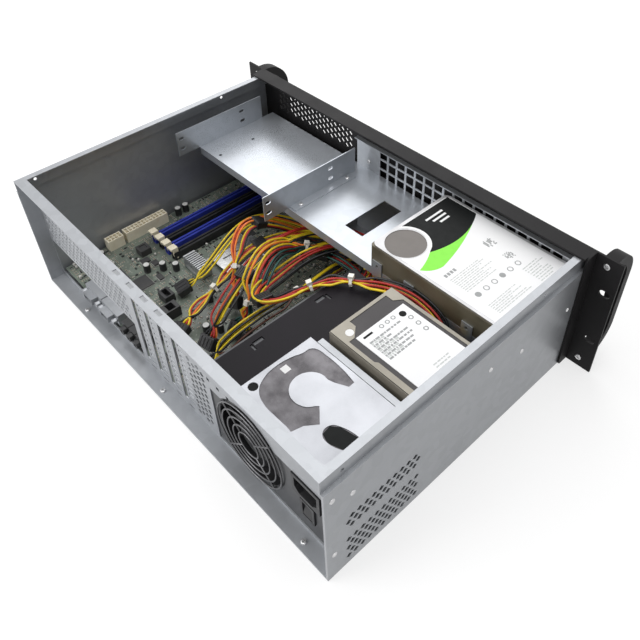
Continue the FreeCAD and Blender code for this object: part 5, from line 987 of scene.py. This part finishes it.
def printed_bar(x, y, across, along, base, ink):
    """Bar of ink whose upper left corner is given; lines of print run towards -Y."""
    return flat_part([(x, y), (x - across, y), (x - across, y - along), (x, y - along)], base,
                     base + INK_DEPTH, INK[ink])


def printed_lines(x, y, rows, pitch, longest, base, ink, seed):
    """Small print: rows of broken bars."""
    seeded = random.Random(seed)
    parts = []
    for row in range(rows):
        at, end = y, y - longest * seeded.uniform(0.55, 1.0)
        while at > end:
            run = seeded.uniform(0.0012, 0.0045)
            parts.append(printed_bar(x - row * pitch, at, pitch * 0.42, run, base, ink))
            at -= run + seeded.uniform(0.0005, 0.0011)
    return parts


def printed_ring(centre, radius, inner, base, ink):
    """Round mark: a ring, or a disc when it has no inner radius."""
    outline = ring_points(centre, radius, 0, 345, 24)
    if inner:
        outline = ring_points(centre, radius, 0, 350, 30) + ring_points(centre, inner, 350, 0, 30)
    return flat_part(outline, base, base + INK_DEPTH, INK[ink])


def printed_patch(x, y, cells, size, base, seed):
    """Square patch of small blocks."""
    seeded = random.Random(seed)
    return [printed_bar(x - i * size, y - j * size, size * 0.9, size * 0.9, base, "grey")
            for i in range(cells) for j in range(cells) if seeded.random() < 0.55]


def hard_drive_print():
    """Plain pattern on the large drive's label: dark corner, green band and rows of small print."""
    low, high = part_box("hard_drive_label")
    drive_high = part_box("hard_drive_base")[1]
    hub = (drive_high.x - 0.0220, drive_high.y - 0.0213)
    base = high.z
    margin = 0.0008
    left, front, rear = high.x - margin, low.y + margin, high.y
    foot = (left - 0.034, front)
    waist = (hub[0] - 0.0222, hub[1] - 0.0060)
    sweep = bowed(foot, waist, 0.0085)
    dark = [(left, front)] + sweep + ring_points(hub, 0.0225, 200, 322, 24)
    parts = [flat_part(dark, base, base + INK_DEPTH, INK["black"])]
    tip = (hub[0] - 0.0310, rear - 0.0012)
    widest = (hub[0] - 0.0415, hub[1] - 0.0010)
    band = sweep[3:] + bowed(waist, tip, 0.0010, 6)[1:] + bowed(tip, widest, -0.0026, 10)[1:]
    band += bowed(widest, sweep[3], -0.0022)[1:-1]
    parts.append(flat_part(band, base, base + INK_DEPTH, INK["green"]))
    lifted = base + INK_DEPTH
    for k in range(3):
        parts.append(printed_bar(left - 0.008 - 0.005 * k, front + 0.040 - 0.004 * k, 0.0022,
                                 0.022 - 0.005 * k, lifted, "white"))
    x = left - 0.066
    first = rear - 0.010
    parts += [printed_bar(x, first - 0.0036 * k, 0.0034, 0.0026, base, "grey") for k in range(4)]
    parts += printed_lines(x - 0.007, first, 9, 0.0022, 0.044, base, "pale", "specification")
    parts += printed_lines(x - 0.046, first, 6, 0.0021, 0.040, base, "pale", "notes")
    parts += printed_lines(x - 0.040, front + 0.030, 9, 0.0026, 0.022, base, "pale", "numbers")
    for k in range(6):
        centre = (x - 0.033, rear - 0.014 - 0.0105 * k)
        parts.append(printed_ring(centre, 0.0028, 0.0019 if k % 3 else 0.0, base, "grey"))
    parts += printed_patch(x + 0.004, front + 0.028, 7, 0.0014, base, "first patch")
    parts += printed_patch(x - 0.018, front + 0.028, 7, 0.0012, base, "second patch")
    return parts


def dark_drive_print():
    """Rows of small print and round marks on the small drive's label."""
    low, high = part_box("dark_drive_label")
    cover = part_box("dark_drive_cover")[1].z
    base, left, front, rear = high.z, high.x, low.y, high.y
    parts = [printed_ring((left - 0.0075, front + 0.0085), 0.0031, 0.0, base, "black"),
             printed_ring((left + 0.0075, rear - 0.0005), 0.0035, 0.0, cover, "white")]
    for k in range(3):
        parts.append(printed_ring((left - 0.005, front + 0.017 + 0.0065 * k), 0.0021, 0.0012, base, "grey"))
        parts.append(printed_ring((left - 0.0145 - 0.008 * k, front + 0.0065), 0.0023, 0.0013, base, "grey"))
    parts.append(printed_bar(left - 0.0035, rear - 0.004, 0.0020, 0.0095, base, "black"))
    parts += printed_lines(left - 0.0105, rear - 0.004, 6, 0.0042, 0.034, base, "grey", "model")
    parts += printed_lines(left - 0.0125, rear - 0.004, 5, 0.0042, 0.020, base, "pale", "parts")
    parts += printed_lines(left - 0.058, front + 0.030, 3, 0.0030, 0.026, base, "pale", "foot")
    return parts


def plate_mesh(name, loops, low, high, material, bevel=0.0002):
    """Flat plate between two heights: each loop after the first is a hole with smooth or sharp points."""
    curve = bpy.data.curves.new(name, "CURVE")
    curve.dimensions = "2D"
    curve.fill_mode = "BOTH"
    curve.resolution_u = 6
    curve.bevel_depth = bevel
    curve.offset = -bevel
    curve.extrude = (high - low) / 2 - bevel
    for loop in loops:
        spline = curve.splines.new("BEZIER")
        spline.bezier_points.add(len(loop) - 1)
        spline.use_cyclic_u = True
        for point, (x, y, bend) in zip(spline.bezier_points, loop):
            point.co = (x, y, 0.0)
            point.handle_left_type = point.handle_right_type = "AUTO" if bend else "VECTOR"
    holder = bpy.data.objects.new(name, curve)
    bpy.context.scene.collection.objects.link(holder)
    mesh = bpy.data.meshes.new_from_object(holder.evaluated_get(bpy.context.evaluated_depsgraph_get()))
    mesh.transform(Matrix.Translation((0, 0, (low + high) / 2)))
    mesh.materials.clear()
    mesh.materials.append(material)
    bpy.data.objects.remove(holder)
    bpy.data.curves.remove(curve)
    return mesh


BARE_RECESS = 0.0007       # depth of the recess in the bare drive's top


def bare_drive_outlines():
    """Outlines on the bare drive's top by name: each point's place, and whether the line is smooth there."""
    low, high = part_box("bare_drive_cover")
    width, depth = high.x - low.x, high.y - low.y
    hub = [(x, y, True) for x, y in ring_points((0.0372, 0.0333), 0.0157, 24, 282, 12)]
    dot = [(x, y, True) for x, y in ring_points((0.0065, 0.0620), 0.0039, 0, 315, 8)]
    outlines = {
        "rim": [(0, 0, False), (width, 0, False), (width, depth, False), (0, depth, False)],
        "recess": [(0.0550, 0.0060, False), (0.0420, 0.0040, True), (0.0220, 0.0036, True),
                   (0.0120, 0.0050, True), (0.0085, 0.0085, True), (0.0080, 0.0145, True),
                   (0.0050, 0.0240, True), (0.0035, 0.0390, True), (0.0062, 0.0520, True),
                   (0.0130, 0.0615, True), (0.0240, 0.0658, True), (0.0380, 0.0664, True),
                   (0.0500, 0.0662, False), (0.0550, 0.0668, False), (0.0575, 0.0575, False),
                   (0.0644, 0.0485, False), (0.0530, 0.0385, False), *hub, (0.0553, 0.0115, False)],
        "window": [(0.0965, 0.0350, False), (0.0965, 0.0480, False), (0.0790, 0.0545, True),
                   (0.0712, 0.0520, True), (0.0700, 0.0440, True), (0.0760, 0.0392, True)],
        "dot": dot,
        "sticker": [(0.0070, 0.0310, False), (0.0133, 0.0310, False), (0.0133, 0.0373, False),
                    (0.0070, 0.0373, False)],
    }
    return {name: [(high.x - a, low.y + b, bend) for a, b, bend in points]
            for name, points in outlines.items()}


def bare_drive_plate(outlines):
    """Cast top of the bare drive: a hub and its neck stand in a wide recess, beside a window and a dot."""
    low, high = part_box("bare_drive_cover")
    floor = high.z - BARE_RECESS
    cast = FINISH["bare_drive_cover"]
    pierced = [outlines[name] for name in ("rim", "recess", "window", "dot")]
    plate = plate_mesh("bare_plate", pierced, floor, high.z, cast)
    under = plate_mesh("bare_under", [outlines["rim"]], low.z, floor, cast)
    work = bmesh.new()
    work.from_mesh(plate)
    work.from_mesh(under)
    bmesh.ops.remove_doubles(work, verts=work.verts[:], dist=1e-7)
    work.to_mesh(plate)
    work.free()
    bpy.data.meshes.remove(under)
    add_piece("bare_drive_plate", plate, replaced=("bare_drive_cover",))


def bare_drive_stickers(outlines):
    """Black floors of the window and the dot, and a small white sticker in the recess."""
    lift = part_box("bare_drive_cover")[1].z - BARE_RECESS + 0.00002
    return [flat_part([(x, y) for x, y, _ in outlines[name]], lift, lift + INK_DEPTH, INK[ink])
            for name, ink in (("window", "black"), ("dot", "black"), ("sticker", "white"))]


class OBJECT_OT_case_printing(bpy.types.Operator):
    """Print the drives' labels and fit the bare drive's cast top"""
    bl_idname = "object.case_printing"
    bl_label = "Drives and Labels"

    def execute(self, context):
        outlines = bare_drive_outlines()
        prints = (("hard_drive_print", hard_drive_print()), ("dark_drive_print", dark_drive_print()),
                  ("bare_drive_stickers", bare_drive_stickers(outlines)))
        bare_drive_plate(outlines)
        for name, parts in prints:
            add_piece(name, mesh_from(name, parts, FINISH["print"]))
        return {"FINISHED"}


# ---------------------------------------------------------------- parts on the board
BOARD_PARTS = ("chips", "capacitors", "board_headers", "cpu_socket_frame", "chipset_heatsink",
               "power_sockets", "d_sub_ports", "audio_jacks", "cable_plugs")


def free_cells(size):
    """Middles of the board's square cells that nothing stands on, in a steady order."""
    low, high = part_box("motherboard")
    taken = [box for node in BOARD_PARTS for box in solid_boxes(node) if box[0].z < high.z + 0.004]
    taken += [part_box(name) for name in NODES if name.startswith("dimm_socket")]
    columns = int((high.x - low.x) / size)
    rows = int((high.y - low.y) / size)
    cells = []
    for i in range(columns):
        for j in range(rows):
            x, y = low.x + (i + 0.5) * size, low.y + (j + 0.5) * size
            if all(abs(x - (a.x + b.x) / 2) > (b.x - a.x + size) / 2
                   or abs(y - (a.y + b.y) / 2) > (b.y - a.y + size) / 2 for a, b in taken):
                cells.append((x, y, high.z))
    return cells


def chip_part(width, depth, height, pins, shade, both=True):
    """Package with its rows of bent pins."""
    metal = (0.55, 0.55, 0.53)
    parts = [bevelled_box((-width / 2, -depth / 2, 0.0002), (width / 2, depth / 2, height), 0.0001, shade)]
    for k in range(pins):
        x = ((k + 0.5) / pins - 0.5) * width * 0.94
        wide = width / pins * 0.24
        for sign in (-1, 1):
            near, far = sorted((sign * depth / 2, sign * (depth / 2 + 0.0007)))
            parts.append(bevelled_box((x - wide, near, 0), (x + wide, far, height * 0.45), 0, metal))
            if both:
                y = ((k + 0.5) / pins - 0.5) * depth * 0.94
                near, far = sorted((sign * width / 2, sign * (width / 2 + 0.0007)))
                parts.append(bevelled_box((near, y - wide, 0), (far, y + wide, height * 0.45), 0, metal))
    return parts


def small_parts():
    """Meshes of the board's small parts by name, with the share of the free cells that each takes."""
    tan, dark, pale = (0.42, 0.33, 0.20), (0.02, 0.02, 0.021), (0.62, 0.61, 0.58)
    row = []
    for k in range(3):
        x = (k - 1) * 0.00125
        row.append(bevelled_box((x - 0.00042, -0.0006, 0), (x + 0.00042, 0.0006, 0.0006), 0,
                                (tan, dark)[k % 2]))
        for sign in (-1, 1):
            near, far = sorted((sign * 0.0006, sign * 0.00095))
            row.append(bevelled_box((x - 0.00045, near, 0), (x + 0.00045, far, 0.00062), 0, pale))
    can = [bevelled_box((-0.0016, -0.0016, 0), (0.0016, 0.0016, 0.0008), 0.0003, dark)]
    can.append(turned_part(((0.0014, 0.0006), (0.0014, 0.0034), (0.00125, 0.0036)), 14, pale))
    block = [bevelled_box((-0.0016, -0.001, 0), (0.0016, 0.001, 0.0011), 0.0001, dark)]
    chip = chip_part(0.0032, 0.0018, 0.0012, 4, dark, False)
    return (("resistors", row, 0.46), ("small_chips", chip, 0.10), ("small_cans", can, 0.05),
            ("small_blocks", block, 0.09))


def scatter_tree():
    """Geometry tree: one shape on every point, turned by quarter turns and varied in size."""
    tree, given = start_repeat("board_parts", (("Least Size", "Float"), ("Drift", "Float"), ("Seed", "Int")))
    turns = add_node(tree, "FunctionNodeRandomValue", {WHOLE_LOW: 0, WHOLE_HIGH: 3, "Seed": given["Seed"]},
                     data_type="INT")
    angle = add_node(tree, "ShaderNodeMath", {0: turns.outputs[WHOLE_VALUE], 1: math.pi / 2},
                     operation="MULTIPLY")
    spin = add_node(tree, "FunctionNodeAxisAngleToRotation", {"Axis": UP, "Angle": angle.outputs[0]})
    size = add_node(tree, "FunctionNodeRandomValue", {RANDOM_LOW: given["Least Size"], RANDOM_HIGH: 1.0,
                                                      "Seed": given["Seed"]}, data_type="FLOAT")
    sway = add_node(tree, "FunctionNodeRandomValue", {RANDOM_LOW: -1.0, RANDOM_HIGH: 1.0,
                                                      "Seed": given["Seed"]}, data_type="FLOAT")
    moved = add_node(tree, "ShaderNodeMath", {0: sway.outputs[RANDOM_VALUE], 1: given["Drift"]},
                     operation="MULTIPLY")
    offset = add_node(tree, "ShaderNodeCombineXYZ", {"X": moved.outputs[0]})
    shifted = add_node(tree, "GeometryNodeSetPosition",
                       {"Geometry": given["Geometry"], "Offset": offset.outputs[0]})
    return end_repeat(tree, given, shifted.outputs[0], spin.outputs[0], size.outputs[RANDOM_VALUE])


def capacitor_mesh():
    """Radial capacitor of radius 1 and height 2.75: a dark sleeve, a bead and a bright top."""
    sleeve = ((0.98, 0.0), (0.98, 0.25), (0.9, 0.34), (1.0, 0.44), (1.0, 2.66), (0.93, 2.72))
    top = ((0.84, 2.70), (0.84, 2.74), (0.80, 2.75))
    parts = [turned_part(sleeve, 22, (0.016, 0.016, 0.018)), turned_part(top, 22, (0.66, 0.66, 0.64))]
    return mesh_from("capacitor", parts, FINISH["tinted"])


def upright_points(name, boxes):
    """Points on the bases of upright round parts, as facing_points gives them."""
    mesh = facing_points(name, boxes)
    places = [((a.x + b.x) / 2, (a.y + b.y) / 2, a.z) for a, b in boxes]
    mesh.vertices.foreach_set("co", [value for place in places for value in place])
    mesh.attributes["facing"].data.foreach_set("vector", [0.0, 0.0, 1.0] * len(boxes))
    mesh.attributes["size"].data.foreach_set("value", [(b.x - a.x) / 2 for a, b in boxes])
    return mesh


class OBJECT_OT_case_board(bpy.types.Operator):
    """Set the small parts, the chips' pins and the capacitors on the board"""
    bl_idname = "object.case_board"
    bl_label = "Board Parts"

    def execute(self, context):
        settings = context.scene.case_detail
        self.scatter(settings)
        self.pins()
        shape = bpy.data.objects.new("capacitor_shape", capacitor_mesh())
        points = upright_points("capacitors", solid_boxes("capacitors"))
        mesh = run_tree("capacitor_cans", points, fastener_tree(),
                        {"Shape": shape, "Scale": 0.97, "Turn Seed": 5, "Finish": FINISH["tinted"]})
        bpy.data.objects.remove(shape)
        add_piece("capacitor_cans", mesh, replaced=("capacitors",))
        return {"FINISHED"}

    def scatter(self, settings):
        """Each free cell of the board takes one kind of small part, or none."""
        seeded = random.Random(settings.seed)
        tree = scatter_tree()
        chosen = {}
        kinds = small_parts()
        for cell in free_cells(settings.cell):
            draw = seeded.random()
            for name, _, share in kinds:
                if draw < share:
                    chosen.setdefault(name, []).append(cell)
                    break
                draw -= share
        for number, (name, parts, _) in enumerate(kinds):
            base = bpy.data.meshes.new(name + "_cells")
            base.from_pydata(chosen[name], [], [])
            shape = bpy.data.objects.new(name + "_shape", mesh_from(name + "_one", parts, FINISH["tinted"]))
            mesh = run_tree(name, base, tree, {"Shape": shape, "Least Size": 0.75, "Drift": settings.drift,
                                               "Seed": number, "Finish": FINISH["tinted"]})
            bpy.data.objects.remove(shape)
            add_piece(name, mesh)

    def pins(self):
        """Rows of pins round the flat packages."""
        parts = []
        for low, high in solid_boxes("chips"):
            width, depth, height = high - low
            if height > 0.0035:
                continue
            place = Matrix.Translation(((low.x + high.x) / 2, (low.y + high.y) / 2, low.z))
            count = max(3, round(width / 0.0011))
            for points, faces, shade in chip_part(width, depth, height, count, (0.5, 0.5, 0.5))[1:]:
                parts.append(([place @ Vector(p) for p in points], faces, shade))
        add_piece("chip_pins", mesh_from("chip_pins", parts, FINISH["tinted"]))


# ---------------------------------------------------------------- stage
SOFTBOXES = (("key", (0.95, -0.88, 1.30), 1.5), ("top", (-0.10, 0.20, 1.70), 1.6),
             ("rear", (0.75, 1.55, 0.75), 1.2))      # name, place and side of each
LIGHT_AIM = (0.0, 0.14, 0.05)
FLOOR_DROP = 0.0004        # below the case, so that their faces don't coincide


class OBJECT_OT_case_stage(bpy.types.Operator):
    """Lay the pale floor and set the lights, the world and the camera"""
    bl_idname = "object.case_stage"
    bl_label = "Stage"

    def execute(self, context):
        settings = context.scene.case_stage
        self.floor(settings)
        self.lights(settings)
        self.world(settings)
        self.camera(context)
        context.scene.view_settings.view_transform = "Standard"
        return {"FINISHED"}

    def shown_background(self, tree):
        """1 for rays of the camera, of gloss and of glass."""
        rays = add_node(tree, "ShaderNodeLightPath").outputs
        either = add_node(tree, "ShaderNodeMath", {0: rays["Is Camera Ray"], 1: rays["Is Glossy Ray"]},
                          operation="MAXIMUM")
        return add_node(tree, "ShaderNodeMath", {0: either.outputs[0], 1: rays["Is Transmission Ray"]},
                        operation="MAXIMUM").outputs[0]

    def floor(self, settings):
        half = settings.floor / 2
        mesh = bpy.data.meshes.new("floor")
        corners = ((-half, -half), (half, -half), (half, half), (-half, half))
        mesh.from_pydata([(x, y, -FLOOR_DROP) for x, y in corners], [], [(0, 1, 2, 3)])
        floor = bpy.data.objects.new("floor", mesh)
        bpy.context.scene.collection.objects.link(floor)
        material = bpy.data.materials.new("floor_paper")
        material.use_nodes = True
        tree = material.node_tree
        tree.nodes.clear()
        paper = add_node(tree, "ShaderNodeBsdfDiffuse", {"Color": (0.80, 0.80, 0.80, 1)})
        glow = add_node(tree, "ShaderNodeEmission",
                        {"Color": (1, 1, 1, 1), "Strength": self.shown_background(tree)})
        mixed = add_node(tree, "ShaderNodeMixShader", {"Fac": 0.55, 1: paper.outputs[0], 2: glow.outputs[0]})
        both = add_node(tree, "ShaderNodeAddShader", {0: mixed.outputs[0], 1: self.dim(tree, glow)})
        add_node(tree, "ShaderNodeOutputMaterial", {"Surface": both.outputs[0]})
        mesh.materials.append(material)

    def dim(self, tree, glow):
        """A faint share of the background's own light."""
        rest = add_node(tree, "ShaderNodeMixShader", {"Fac": 0.12, 2: glow.outputs[0]})
        return rest.outputs[0]

    def lights(self, settings):
        for name, place, size in SOFTBOXES:
            lamp = bpy.data.lights.new(name, "AREA")
            lamp.shape = "SQUARE"
            lamp.size = size
            lamp.energy = getattr(settings, name + "_power")
            holder = bpy.data.objects.new(name, lamp)
            holder.location = place
            aim = Vector(LIGHT_AIM) - Vector(place)
            holder.rotation_euler = aim.to_track_quat("-Z", "Y").to_euler()
            bpy.context.scene.collection.objects.link(holder)

    def world(self, settings):
        world = bpy.data.worlds.new("room")
        bpy.context.scene.world = world
        world.use_nodes = True
        tree = world.node_tree
        tree.nodes.clear()
        seen = self.shown_background(tree)
        strength = add_node(tree, "ShaderNodeMapRange",
                            {"Value": seen, "To Min": settings.fill, "To Max": 1.0})
        back = add_node(tree, "ShaderNodeBackground",
                        {"Color": (1, 1, 1, 1), "Strength": strength.outputs[0]})
        add_node(tree, "ShaderNodeOutputWorld", {"Surface": back.outputs[0]})

    def camera(self, context):
        """Camera above the rear right corner, looking down across the open case."""
        bearing, drop, roll = 0.8206169, 0.7249037, -0.0139827
        forward = Vector((math.sin(bearing) * math.cos(drop), -math.cos(bearing) * math.cos(drop),
                          -math.sin(drop)))
        right = forward.cross(UP).normalized()
        up = right.cross(forward)
        right_rolled = right * math.cos(roll) + up * math.sin(roll)
        up_rolled = up * math.cos(roll) - right * math.sin(roll)
        lens = bpy.data.cameras.new("camera")
        lens.sensor_width = 36.0
        lens.lens = 39.954
        lens.shift_x = -0.03971
        lens.shift_y = -0.11948
        camera = bpy.data.objects.new("camera", lens)
        place = Matrix((right_rolled, up_rolled, -forward)).transposed().to_4x4()
        place.translation = Vector((-0.3875213, 0.4372425, 0.5198664))
        camera.matrix_world = place
        context.scene.collection.objects.link(camera)
        context.scene.camera = camera


class OBJECT_OT_case_finishes(bpy.types.Operator):
    """Give every CAD node its material"""
    bl_idname = "object.case_finishes"
    bl_label = "Finishes"

    def execute(self, context):
        FINISH.update(make_finishes())
        for name, node in NODES.items():
            chosen = next((finish for start, finish in NODE_FINISHES if name.startswith(start)), None)
            if chosen is None:
                raise RuntimeError("no finish for " + name)
            for slot in node.material_slots:
                slot.link = "OBJECT"
                slot.material = FINISH[chosen]
        return {"FINISHED"}


class VIEW3D_PT_case(bpy.types.Panel):
    """Buttons for the steps that build the server case"""
    bl_idname = "VIEW3D_PT_case"
    bl_label = "Server Case"
    bl_space_type = "VIEW_3D"
    bl_region_type = "UI"
    bl_category = "Server Case"

    def draw(self, context):
        for kind in STEPS:
            self.layout.operator(kind.bl_idname)


STEPS = (OBJECT_OT_case_finishes, OBJECT_OT_case_wiring, OBJECT_OT_case_fasteners, OBJECT_OT_case_fan_guard,
         OBJECT_OT_case_printing, OBJECT_OT_case_board, OBJECT_OT_case_stage)
SETTINGS = (("case_finish", CaseFinishSettings), ("case_wiring", CaseWiringSettings),
            ("case_detail", CaseDetailSettings), ("case_stage", CaseStageSettings))


def register():
    for name, kind in SETTINGS:
        bpy.utils.register_class(kind)
        setattr(bpy.types.Scene, name, bpy.props.PointerProperty(type=kind))
    for kind in STEPS + (VIEW3D_PT_case,):
        bpy.utils.register_class(kind)


def unregister():
    for kind in (VIEW3D_PT_case,) + STEPS[::-1]:
        bpy.utils.unregister_class(kind)
    for name, kind in SETTINGS:
        delattr(bpy.types.Scene, name)
        bpy.utils.unregister_class(kind)


def main():
    register()
    for kind in STEPS:
        group, name = kind.bl_idname.split(".")
        getattr(getattr(bpy.ops, group), name)()


if __name__ == "__main__":
    main()
